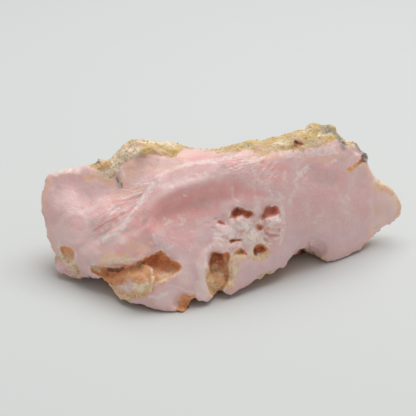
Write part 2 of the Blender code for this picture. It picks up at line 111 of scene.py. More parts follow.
half = FLOOR_WIDTH / 2
floor_mesh = bpy.data.meshes.new("floor")
floor_corners = [(-half, -half, 0), (half, -half, 0), (half, half, 0), (-half, half, 0)]
floor_mesh.from_pydata(floor_corners, [], [(0, 1, 2, 3)])
floor = bpy.data.objects.new("floor", floor_mesh)
bpy.context.scene.collection.objects.link(floor)
paper, paper_shader = new_material("floor_paper")
paper_shader.inputs["Base Color"].default_value = FLOOR_COLOUR
paper_shader.inputs["Roughness"].default_value = 0.9
paper_shader.inputs["Specular IOR Level"].default_value = 0.15
floor_mesh.materials.append(paper)

world = bpy.data.worlds.new("pale_room")
world.use_nodes = True
world.node_tree.nodes["Background"].inputs["Color"].default_value = SKY_COLOUR
world.node_tree.nodes["Background"].inputs["Strength"].default_value = SKY_STRENGTH
bpy.context.scene.world = world

lamp = bpy.data.objects.new("soft_lamp", bpy.data.lights.new("soft_lamp", "AREA"))
lamp.data.size = LAMP_WIDTH
lamp.data.energy = LAMP_WATTS
lamp.location = LAMP_PLACE
lamp.rotation_euler = (-LAMP_PLACE).to_track_quat("-Z", "Y").to_euler()
bpy.context.scene.collection.objects.link(lamp)
bpy.context.scene.view_settings.view_transform = "Standard"
print("floor", FLOOR_WIDTH, "m wide, lamp", LAMP_WIDTH, "m wide at", [round(v, 2) for v in LAMP_PLACE])

# %% [markdown]
# ## The body of the stone
#
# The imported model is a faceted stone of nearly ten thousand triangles: enough to weigh, drop and measure. The
# real one is glassy-smooth where it broke. Sculpting a new one by hand would drift away from the measured
# size, so this one starts as a copy. Its loose triangles are welded, rounded by subdivision, and skinned
# again with a fine, even mesh, which has points enough for the small pits to come.

# %% Copy, weld and refine
NODE = "rough_pink_opal"
FINE = 0.22  # the distance between neighbouring points of the fine mesh
WELD = 0.001  # corners nearer than this are one
ROUNDING_LEVELS = 2


def points_of(mesh):
    """The mesh's points in millimetres."""
    flat = np.empty(len(mesh.vertices) * 3, np.float32)
    mesh.vertices.foreach_get("co", flat)
    return flat.reshape(-1, 3).astype(float) / MM


def put_points(mesh, points):
    mesh.vertices.foreach_set("co", (points * MM).astype(np.float32).ravel())
    mesh.update()


def normals_of(mesh):
    flat = np.empty(len(mesh.vertices) * 3, np.float32)
    mesh.vertex_normals.foreach_get("vector", flat)
    return flat.reshape(-1, 3).astype(float)


def edges_of(mesh):
    flat = np.empty(len(mesh.edges) * 2, np.int32)
    mesh.edges.foreach_get("vertices", flat)
    return flat.reshape(-1, 2)


def made_plain(piece, name):
    """The piece with its modifiers turned into one plain mesh."""
    graph = bpy.context.evaluated_depsgraph_get()
    mesh = bpy.data.meshes.new_from_object(piece.evaluated_get(graph))
    mesh.name = name
    piece.modifiers.clear()
    piece.data = mesh
    return mesh


welded = bmesh.new()
welded.from_mesh(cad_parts[NODE].data)
bmesh.ops.remove_doubles(welded, verts=welded.verts, dist=WELD * MM)
corners = [tuple(vert.co) for vert in welded.verts]
sides = [[vert.index for vert in face.verts] for face in welded.faces]
welded.free()
body = bpy.data.meshes.new("opal_stone")
body.from_pydata(corners, [], sides)
stone = bpy.data.objects.new("opal_stone", body)
bpy.context.scene.collection.objects.link(stone)
rounding = stone.modifiers.new("rounding", "SUBSURF")
rounding.levels = ROUNDING_LEVELS
rounding.render_levels = ROUNDING_LEVELS
skin = stone.modifiers.new("fine_skin", "REMESH")
skin.mode = "VOXEL"
skin.voxel_size = FINE * MM
body = made_plain(stone, "opal_stone")
print(len(corners), "welded corners became", len(body.vertices), "points")

# %% [markdown]
# Facets still show through the rounding. They could be smoothed by more subdivision, but that would round the
# hollows as well. A few rounds of moving each point to the middle of its neighbours takes the facets away and
# leaves the hollows, and the same helper, run longer, tells later which spots stand out and which lie deep.

# %% Smooth the facets away
FACET_ROUNDS = 9


def relaxed(points, edges, rounds):
    """The points after each has moved to the middle of its neighbours, a number of times."""
    a, b = edges.T
    count = np.bincount(edges.ravel(), minlength=len(points))
    for _ in range(rounds):
        points = np.column_stack([
            (np.bincount(a, column[b], len(points)) + np.bincount(b, column[a], len(points))) / count
            for column in points.T
        ])
    return points


edges = edges_of(body)
faceted = points_of(body)
smoothed = relaxed(faceted, edges, FACET_ROUNDS)
put_points(body, smoothed)
print("smoothing moves points by", round(float(np.linalg.norm(smoothed - faceted, axis=1).mean()), 3), "mm")

# %% [markdown]
# ## Marks on the sheet
#
# Pits, cracks and colours are all drawn with the same two marks: an outline, which has a sharp edge, and a
# brush stroke along a line, which fades towards its rim. A mark lands only on surface that faces the sheet,
# or it would go through to the back of the stone. Noise from the stone's own place breaks up every edge, so
# that nothing looks drawn with a ruler.

# %% Helpers for outlines and strokes
SEED_STEP = Vector((7.3, 3.1, 5.7))  # each seed reads the noise somewhere else
SEEN_DEPTH = 1.2  # how far behind a rim a mark still lands, for undercut walls
SEEN_FULLY = 1.2  # over 1, so that a mark keeps its strength for the first fifth of that depth
FACING_TURN = 0.6  # how quickly relief fades where the surface turns away from the sheet


def on_sheet(points):
    """(across, up) of each point where the sight lines through them meet the sheet."""
    away = points - EYE
    seen = EYE + away * (EYE_DISTANCE / (away @ SIGHT))[:, None] - SHEET_MIDDLE
    return np.column_stack([seen @ RIGHT, seen @ UP_SHEET])


def smoothstep(value):
    value = np.clip(value, 0.0, 1.0)
    return value * value * (3.0 - 2.0 * value)


def wobble(points, size, seed):
    """Smooth noise from about -1 to 1 at each point."""
    offset = seed * SEED_STEP
    return np.array([noise.noise(Vector(point) / size + offset) for point in points])


def distance_to(seen, start, end):
    run = end - start
    share = np.clip((seen - start) @ run / (run @ run), 0.0, 1.0)
    return np.linalg.norm(seen - start - share[:, None] * run, axis=1)


def stroke(seen, line, radius):
    """1 along the line, fading to 0 at the radius."""
    line = np.array(line)
    away = np.min([distance_to(seen, start, end) for start, end in zip(line[:-1], line[1:])], axis=0)
    return smoothstep(1.0 - away / radius)


def depth_inside(seen, outline):
    """How far inside the outline each spot is, below 0 outside it."""
    outline = np.array(outline)
    following = np.roll(outline, -1, axis=0)
    away = np.min([distance_to(seen, start, end) for start, end in zip(outline, following)], axis=0)
    inside = np.zeros(len(seen), bool)
    for (x0, y0), (x1, y1) in zip(outline, following):
        if y0 != y1:
            spans = (y0 > seen[:, 1]) != (y1 > seen[:, 1])
            inside ^= spans & (seen[:, 0] < x0 + (seen[:, 1] - y0) * (x1 - x0) / (y1 - y0))
    return np.where(inside, away, -away)


def shown(points, mesh):
    """1 where the sight line reaches a point unhindered, fading to 0 just behind what hides it."""
    tree = BVHTree.FromPolygons(points.tolist(), [tuple(face.vertices) for face in mesh.polygons])
    eye = Vector(EYE)
    far = np.linalg.norm(points - EYE, axis=1)
    met = [tree.ray_cast(eye, Vector(way))[3] for way in points - EYE]
    hidden_by = np.array([reach if depth is None else depth for depth, reach in zip(met, far)])
    return smoothstep(SEEN_FULLY - (far - hidden_by) / SEEN_DEPTH)


points = points_of(body)
normals = normals_of(body)
seen = on_sheet(points)
in_view = shown(points, body)
facing = smoothstep(0.5 - (normals @ SIGHT) / FACING_TURN) * in_view
print("sheet reaches", seen.min(axis=0).round(1), "to", seen.max(axis=0).round(1))
print(f"{np.mean(in_view):.0%} of the points can be seen from the sheet")

# %% [markdown]
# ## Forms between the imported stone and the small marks
#
# A few forms are too soft for a facet and too broad for a seam: the knob under the lip and the step down to
# the thin tip on the right. Each is an outline pushed towards the viewer or away, with a wide wall. The lumps
# in and between the pits are cast bubbles, so they are round and get a dome each.
#
# The crest along the rind and the shelf below it are smoothed, because the break rolls over there and is not
# an edge. Smoothing draws corners in, so a few corners of the outline are pulled out again along the sheet.

# %% Push the forms and round the crest
FORMS = (  # (outline, push in millimetres, away from the viewer above 0, wall width)
    (  # the knob under the lip
        ((-17.0, -14.4), (-16.2, -12.5), (-14.4, -11.5), (-12.5, -11.6), (-11.2, -12.8), (-10.8, -14.8),
         (-11.4, -16.6), (-13.4, -17.5), (-15.6, -16.9)), -0.8, 2.0,
    ),
    (  # the thin tip
        ((32.5, -11.0), (32.4, -6.4), (32.6, -3.4), (32.4, 1.6), (33.0, 4.4), (34.4, 6.6), (38.0, 8.0),
         (41.0, 1.6), (41.0, -6.4), (37.4, -11.0)), 0.8, 0.9,
    ),
)
LOBES = (  # (middle, radius, height towards the viewer): round lumps between and inside the pits
    ((1.8, -14.2), 1.9, 1.3), ((13.0, -2.9), 1.7, 0.7), ((13.0, -5.1), 1.6, 0.4), ((6.4, -2.3), 0.9, 0.5),
    ((6.9, -4.0), 1.3, 0.4), ((9.0, -2.6), 1.2, 0.35), ((3.6, -4.6), 1.2, 0.3), ((5.8, -7.6), 1.1, 0.4),
    ((9.0, -5.9), 1.0, 0.35), ((2.0, -7.2), 1.4, 0.35), ((-14.6, -16.6), 1.0, 0.4),
    ((-17.0, -15.6), 1.2, 0.4), ((-28.6, -10.2), 0.9, 0.5), ((-27.8, -11.6), 0.8, 0.4),
    ((-4.6, -19.9), 1.3, 1.1), ((-3.0, -19.0), 1.0, 0.7), ((3.4, -12.4), 1.2, 0.4),
)
SMOOTHED = (  # (line, radius, share)
    (((-17.0, 9.2), (-8.0, 9.6), (-3.0, 10.8), (4.0, 10.4)), 2.0, 1.0),
    (((-14.6, -2.6), (-12.4, -0.4), (-9.6, 2.4), (-3.0, 4.6), (3.4, 5.6)), 3.6, 0.9),
    (((4.0, 5.6), (8.4, 8.0), (12.0, 9.0), (16.4, 10.0), (21.0, 11.0), (27.0, 11.4)), 5.0, 1.0),
    (((-27.4, -4.8), (-26.4, -3.4)), 3.6, 0.7), (((20.8, -7.6), (22.2, -8.4)), 2.6, 1.0),
)
SMOOTH_ROUNDS = 240
SMOOTH_CORE = 1.5  # over 1, so that the middle of a stroke is smoothed in full
PULLS = (  # (middle, radius, (across, up)): corners of the outline drawn out or in along the sheet
    ((-29.6, -12.4), 3.4, (-1.3, -0.2)), ((29.2, 12.4), 1.8, (0.3, 0.7)),
    ((-20.4, 10.4), 2.4, (0.0, -0.7)), ((-4.6, -19.0), 2.2, (0.3, -1.2)),
)
pushed = np.zeros(len(points))
for middle, radius, height in LOBES:
    off = np.linalg.norm(seen - middle, axis=1) / radius
    pushed -= height * np.sqrt(np.clip(1.0 - off * off, 0.0, 1.0)) * in_view
for outline, push, wall in FORMS:
    share = smoothstep(depth_inside(seen, outline) / wall) * in_view
    pushed += push * share
soft = [share * smoothstep(SMOOTH_CORE * stroke(seen, line, radius)) for line, radius, share in SMOOTHED]
soft = (np.max(soft, axis=0) * in_view)[:, None]
points = points + soft * (relaxed(points, edges, SMOOTH_ROUNDS) - points) + pushed[:, None] * SIGHT
for middle, radius, (across, up) in PULLS:
    near = smoothstep(1.0 - np.linalg.norm(seen - middle, axis=1) / radius)
    points = points + near[:, None] * (across * RIGHT + up * UP_SHEET)
seen = on_sheet(points)
print("forms move the surface by up to", round(float(np.abs(pushed).max()), 2), "mm")

# %% [markdown]
# ## Pits and hollows
#
# In the stone, pits are bubbles and dissolved grains that the break has cut open, so they have steep walls,
# ragged rims and rough floors. A Boolean cut with small blobs could make them, but it is slow on a fine mesh
# and leaves slivers. Here each point inside an outline is pressed straight in, quickly near the rim and then
# slowly, which gives the same steep wall and a closed mesh.
#
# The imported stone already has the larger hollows, so a pit's depth is what it goes beyond them. Most pits go
# in under their upper rim and come out again towards the lower one.

# %% Press in the pits
PITS = {
    "tall hollow": (
        (0.9, -8.8), (1.6, -8.6), (2.2, -9.0), (3.2, -9.1), (4.0, -8.9), (4.5, -9.6), (4.3, -10.4),
        (4.0, -11.2), (4.1, -13.2), (4.0, -14.8), (3.2, -16.0), (2.8, -16.7), (1.4, -17.1), (0.8, -17.6),
        (0.3, -16.4), (-0.2, -15.0), (-0.4, -13.8), (0.0, -12.4), (0.1, -10.8), (0.4, -9.8),
    ),
    "deep pit": (
        (9.1, -8.0), (9.8, -7.7), (10.4, -7.3), (11.0, -7.5), (11.7, -8.1), (11.4, -8.6), (10.4, -8.8),
        (9.6, -9.1), (9.1, -9.7),
    ),
    "gable pit": (
        (5.0, -9.5), (5.8, -8.6), (6.5, -7.9), (7.1, -8.6), (7.9, -9.3), (7.6, -9.6), (6.8, -9.1),
        (6.0, -9.3),
    ),
    "slit": (
        (4.3, -6.6), (4.6, -6.3), (5.6, -6.2), (6.8, -6.2), (6.4, -6.6), (5.6, -6.7), (5.0, -6.8),
        (4.6, -7.2),
    ),
    "branched pit": (
        (4.5, -1.8), (4.8, -0.8), (5.4, -0.1), (5.8, 0.2), (6.6, -0.1), (7.4, -0.5), (8.4, -0.6),
        (8.9, -1.0), (8.6, -1.5), (8.2, -1.9), (7.7, -2.1), (7.3, -1.7), (7.0, -1.3), (6.2, -1.4),
        (5.6, -1.9), (5.2, -2.2), (4.9, -1.8),
    ),
    "red pit": (
        (11.3, -0.6), (11.8, 0.0), (12.8, 0.2), (13.3, 0.4), (13.9, 0.0), (14.2, -0.6), (14.6, -1.1),
        (13.8, -1.3), (13.2, -1.7), (12.4, -1.8), (11.6, -1.8), (11.0, -2.1), (10.7, -2.6), (10.9, -1.6),
    ),
    "small slit": (
        (1.8, -2.6), (2.4, -2.4), (3.0, -2.8), (3.7, -3.5), (3.0, -3.4), (2.4, -3.2), (1.9, -3.1),
    ),
    "round pit": (
        (9.6, -3.5), (10.0, -3.2), (10.6, -3.4), (10.9, -4.0), (10.4, -4.6), (9.9, -4.5), (9.6, -4.0),
    ),
    "dimple": ((6.4, -4.4), (7.0, -4.4), (7.7, -4.9), (7.1, -5.0), (6.6, -5.0)),
    "fan, upper trough": (
        (11.8, -3.7), (12.8, -4.1), (14.4, -4.1), (14.4, -4.5), (12.8, -4.6), (11.8, -4.3),
    ),
    "fan, lower trough": (
        (11.0, -4.3), (11.6, -4.5), (12.4, -5.2), (14.4, -5.4), (14.4, -5.8), (12.8, -5.9), (11.6, -5.3),
    ),
    "arc slit": ((11.0, -5.7), (11.4, -6.1), (12.0, -6.6), (12.5, -6.8), (11.8, -6.8), (11.2, -6.4)),
    "left of the lip": (
        (-23.6, -11.7), (-22.6, -11.4), (-21.6, -11.8), (-20.2, -11.9), (-19.0, -12.1), (-18.0, -12.0),
        (-16.8, -12.1), (-16.0, -11.8), (-14.8, -11.5), (-14.0, -11.4), (-14.8, -12.1), (-15.6, -12.6),
        (-16.2, -13.2), (-16.8, -14.4), (-17.6, -15.5), (-18.8, -15.5), (-19.8, -15.0), (-20.8, -14.0),
        (-22.0, -13.3), (-23.2, -12.7),
    ),
    "right of the lip": (
        (-13.4, -10.7), (-12.6, -10.0), (-11.6, -9.8), (-10.8, -9.4), (-10.0, -8.8), (-9.4, -8.6),
        (-9.0, -9.1), (-8.2, -9.6), (-7.6, -10.4), (-7.0, -10.8), (-6.0, -11.0), (-5.4, -11.6),
        (-5.6, -12.4), (-6.4, -13.0), (-7.4, -13.6), (-8.4, -14.4), (-9.6, -14.8), (-10.4, -15.1),
        (-10.8, -14.6), (-10.8, -13.6), (-11.1, -12.4), (-11.6, -11.7), (-12.4, -11.3), (-13.2, -11.1),
    ),
    "left pocket": (
        (-29.4, -7.8), (-28.6, -7.6), (-28.0, -8.0), (-27.2, -8.4), (-26.7, -9.0), (-26.8, -10.0),
        (-27.2, -10.8), (-27.4, -11.4), (-28.0, -11.1), (-28.6, -10.4), (-28.9, -9.6), (-29.3, -8.8),
    ),
    "foot pocket": (
        (-5.0, -18.2), (-4.2, -17.7), (-3.4, -17.7), (-2.6, -18.1), (-1.6, -18.8), (-2.4, -19.1),
        (-3.2, -19.3), (-3.6, -20.0), (-4.2, -20.6), (-5.0, -21.1), (-6.2, -21.1), (-6.4, -20.4),
        (-5.8, -19.6), (-5.3, -19.0),
    ),
    "right notch": (
        (18.2, -9.8), (18.4, -8.8), (19.0, -8.2), (19.6, -8.3), (20.2, -8.8), (21.0, -9.4), (21.8, -10.1),
        (22.6, -10.7), (22.0, -11.6), (19.0, -12.0), (17.8, -11.4), (17.8, -10.4),
    ),
    "rind hole": (
        (17.3, 13.4), (17.9, 13.2), (18.7, 13.0), (19.1, 12.6), (18.6, 12.3), (17.9, 12.5), (17.5, 12.9),
    ),
    "dark notch": (
        (30.5, 9.7), (30.6, 10.3), (31.1, 10.5), (31.5, 9.9), (31.3, 9.1), (30.9, 9.2), (30.6, 8.7),
        (30.1, 9.0),
    ),
}
PIT_DEPTH = {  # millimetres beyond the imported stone's own hollow, under the upper rim
    "tall hollow": 1.6, "deep pit": 0.8, "gable pit": 0.9, "slit": 1.0, "branched pit": 1.4, "red pit": 0.2,
    "small slit": 0.6, "round pit": 0.9, "dimple": 0.4, "fan, upper trough": 0.35,
    "fan, lower trough": 0.5, "arc slit": 0.4, "left of the lip": 0.8, "right of the lip": 1.2,
    "left pocket": 0.6, "foot pocket": 0.1, "right notch": 2.6, "rind hole": 0.8, "dark notch": 0.4,
}
PIT_WALL = 0.35
FLOOR_RISE = 0.65  # the share of the depth that is lost towards the lower rim
PIT_LUMPS = 0.45
LUMP_WALL = 0.9  # the floor's lumps grow over this width
LUMP_START = 0.3  # and begin this share of it inside the rim
RAGGED = 0.14
RIM_WIDTH = 0.4
RIM_HEIGHT = 0.14
STAIN_WALL = 0.25  # a pit's stain fades over this width
STAIN_SPILL = 0.9  # and this share of it lies outside the rim
ragged = RAGGED * (wobble(points, 0.55, seed=21) + wobble(points, 1.6, seed=22))
lumpy = PIT_LUMPS * (wobble(points, 1.5, seed=26) + 0.5 * wobble(points, 0.6, seed=27))
press = np.zeros(len(points))
rim = np.zeros(len(points))
pit_share = {}
pit_floor = {}
for name, outline in PITS.items():
    inside = depth_inside(seen, outline) + ragged
    pit_share[name] = smoothstep(inside / STAIN_WALL + STAIN_SPILL) * in_view
    bottom, top = min(up for _, up in outline), max(up for _, up in outline)
    pit_floor[name] = smoothstep(1.1 - (seen[:, 1] - bottom) / (top - bottom))
    rim = np.maximum(rim, smoothstep(1.0 - np.abs(inside + RIM_WIDTH / 2) / RIM_WIDTH) * facing)
    depth = PIT_DEPTH[name] * (1.0 - FLOOR_RISE * pit_floor[name])
    depth = depth + lumpy * smoothstep(inside / LUMP_WALL - LUMP_START)
    press += depth * smoothstep(inside / PIT_WALL) * in_view
points = points + (press - RIM_HEIGHT * rim * (0.5 + wobble(points, 0.8, seed=28)))[:, None] * SIGHT
print(len(PITS), "pits reach", int((press != 0).sum()), "points")

# %% [markdown]
# ## Splinters, creases and the crisp ridge
#
# Opal breaks like thick glass: in shells with raised seams where two of them meet, and in long splinters
# where the break changed direction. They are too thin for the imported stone, so they are added here as fine
# strokes, raised or sunk by a fraction of a millimetre along the surface's own direction.

# %% Raise the seams and sink the splinters
SEAMS = (  # (line, half width, height); a height below 0 sinks
    (((2.4, -8.1), (0.8, -8.2), (-0.1, -9.2), (-0.5, -10.8), (-0.6, -12.6)), 1.4, 0.42),
    (((5.4, 10.4), (1.4, 9.4), (-2.6, 8.9), (-6.0, 8.2), (-8.4, 7.2), (-10.2, 6.0)), 0.9, 0.09),
    (((-9.8, 5.4), (-12.0, 3.0), (-13.6, 1.0), (-15.2, -1.4), (-16.8, -3.4), (-18.4, -4.8),
      (-20.4, -6.0)), 1.6, 0.12),
    (((-9.8, 5.4), (-12.0, 3.0), (-13.6, 1.0), (-15.2, -1.4), (-16.8, -3.4), (-18.4, -4.8)), 0.35, 0.05),
    (((-22.8, -11.0), (-19.0, -10.5), (-15.6, -10.8), (-13.4, -10.0)), 0.9, 0.45),
    (((-14.0, 2.2), (-16.6, 1.4), (-19.2, 1.0)), 0.45, -0.16), (((-11.6, 3.2), (-14.0, 2.2)), 0.35, -0.12),
    (((-14.2, 0.4), (-18.0, -1.8), (-21.0, -3.6), (-23.0, -4.6)), 0.55, -0.2),
    (((-13.4, 3.0), (-15.2, 2.4), (-17.2, 1.8)), 0.3, 0.1), (((-11.2, 5.0), (-13.6, 4.6)), 0.3, 0.1),
    (((-11.0, 4.8), (-12.0, 3.2)), 0.35, 0.1),
    (((-29.6, -3.4), (-28.6, -1.6), (-27.0, -1.0), (-25.4, -1.2), (-24.2, -2.6)), 1.3, 0.12),
    (((7.6, 11.4), (8.6, 8.6), (9.4, 5.6), (8.8, 3.2)), 0.6, 0.06),
    (((15.0, 11.4), (12.8, 7.2), (12.0, 3.0)), 0.8, 0.06),
    (((18.0, 6.6), (17.6, 3.6), (16.4, 1.0)), 0.5, 0.08), (((23.6, 8.6), (25.6, 9.4)), 0.4, 0.1),
    (((7.4, 9.6), (10.0, 9.0), (11.4, 10.0)), 0.5, 0.08),
    (((5.6, 8.6), (8.4, 9.6), (10.0, 9.0)), 0.5, -0.08),
    (((1.6, -5.4), (4.4, -5.9), (7.6, -6.0)), 0.6, 0.2),
    (((11.4, -2.6), (13.0, -2.2), (14.4, -3.0)), 0.8, 0.35),
    (((11.6, -4.4), (13.0, -4.9), (14.4, -4.9)), 0.35, 0.2),
    (((5.0, -3.0), (7.0, -3.6), (9.4, -5.2)), 0.6, 0.15),
    (((-16.2, -13.0), (-14.4, -11.7), (-12.0, -12.0), (-11.0, -14.4), (-11.6, -16.8)), 0.7, 0.2),
    (((-15.4, -13.6), (-13.8, -12.6), (-12.4, -13.2), (-11.8, -15.2)), 0.5, -0.12),
    (((-14.6, -16.0), (-13.4, -15.0), (-12.4, -14.6)), 0.5, 0.2),
    (((-15.4, -15.4), (-14.0, -14.0)), 0.5, -0.12),
    (((0.4, -13.0), (2.4, -13.4), (3.6, -13.0)), 0.6, 0.35),
    (((1.4, -15.0), (2.4, -15.2), (3.6, -14.6)), 0.4, -0.3),
    (((-10.8, -17.8), (-8.0, -17.2), (-5.4, -16.6)), 0.6, 0.1),
    (((-2.0, -12.0), (-1.0, -15.0), (-0.6, -18.0)), 0.9, 0.15),
)
seam_break = 0.75 + 0.45 * wobble(points, 1.5, seed=23)
lift = np.zeros(len(points))
for line, half_width, height in SEAMS:
    lift += height * seam_break * stroke(seen, line, half_width)
print(len(SEAMS), "seams move the surface by up to", round(float(np.abs(lift).max()), 2), "mm")

# %% [markdown]
# Between the seams the break is covered in finer splinters, far too many to draw. They are noise stretched
# along the way the break ran: long in that direction and narrow across it. Each field is a brushed area with
# its own lean, and the same noise later makes the raised splinters milky and the sunken ones rosy.
#
# The sponge round the pits is the opposite, the same in all directions: small cells, each with a dent. The
# lower edge, where the break turns under, is tattered by two more noises.

# %% Splinters and sponge
SPLINTERS = (  # (line, radius, lean in degrees, length, width, height)
    (((-22.0, -5.0), (-17.5, -1.5), (-13.5, 2.5)), 4.0, 32, 1.5, 0.3, 0.055),
    (((-20.0, 3.0), (-16.0, 3.4), (-12.0, 4.6)), 2.4, 10, 2.0, 0.3, 0.05),
    (((-14.0, 5.0), (-6.0, 6.6), (4.0, 9.0)), 3.0, 14, 3.0, 0.6, 0.03),
    (((5.0, 8.6), (9.0, 9.4), (13.0, 8.6)), 2.6, 24, 1.6, 0.35, 0.06),
    (((11.0, 7.0), (16.0, 6.0), (20.0, 9.0)), 4.0, 52, 5.0, 0.6, 0.05),
    (((-2.0, -10.0), (-1.2, -17.0)), 2.0, 82, 5.0, 0.4, 0.07),
    (((-19.6, -10.6), (-13.0, -10.4)), 1.6, 6, 4.0, 0.3, 0.08),
)
SPONGE = (((1.6, -3.0), (6.0, -3.6), (10.0, -4.4)), ((12.0, -3.2), (14.4, -3.4)), ((4.0, -7.4), (9.4, -6.4)))
SPONGE_RADIUS = 2.6
SPONGE_CELL = 0.85
SPONGE_DEPTH = 0.3
CELL_REACH = 0.5  # a dent's radius, as a share of the cell
HEM_TURN = 0.5  # how far round the lower edge the tatters reach
HEM_HEIGHT = 0.45
TALL_SPLINTER = 0.09  # splinters of this height and more show their milk and rose in full
SPLINTER_BEND = 0.4


def streaks(seen, lean, length, width, seed):
    """Noise from about -1 to 1, drawn out along the lean."""
    way = np.array([math.cos(lean), math.sin(lean)])
    along, across = seen @ way / length, seen @ np.array([-way[1], way[0]]) / width
    return np.array([noise.noise(Vector((a, b, seed))) for a, b in zip(along, across)])


splintered = np.zeros(len(points))
for seed, (line, radius, lean, length, width, height) in enumerate(SPLINTERS):
    zone = stroke(seen, line, radius)
    touched = zone > 0
    splinters = np.zeros(len(points))
    bent = seen[touched] + SPLINTER_BEND * wobble(points[touched], 2.0, seed=24)[:, None]
    splinters[touched] = streaks(bent, math.radians(lean), length, width, seed)
    splintered += splinters * zone * min(1.0, height / TALL_SPLINTER)
    lift += height * splinters * 2.0 * zone
spongy = np.max([stroke(seen, line, SPONGE_RADIUS) for line in SPONGE], axis=0) * in_view
touched = spongy > 0
cell = np.array([noise.voronoi(Vector(point) / SPONGE_CELL)[0][0] for point in points[touched]])
dents = smoothstep(1.0 - cell / CELL_REACH) * smoothstep(0.5 + 2.0 * wobble(points[touched], 1.3, seed=25))
lift[touched] -= SPONGE_DEPTH * dents * smoothstep(2.0 * spongy[touched])
tattered = smoothstep(1.0 - np.abs(normals @ SIGHT) / HEM_TURN) * smoothstep(-normals[:, 2] / 0.3)
hem = HEM_HEIGHT * tattered * (wobble(points, 1.6, seed=29) + 0.7 * wobble(points, 0.7, seed=30))
points = points + (lift * facing + hem)[:, None] * normals
put_points(body, points)
print("splinters and sponge move the surface by up to", round(float(np.abs(lift).max()), 2), "mm")
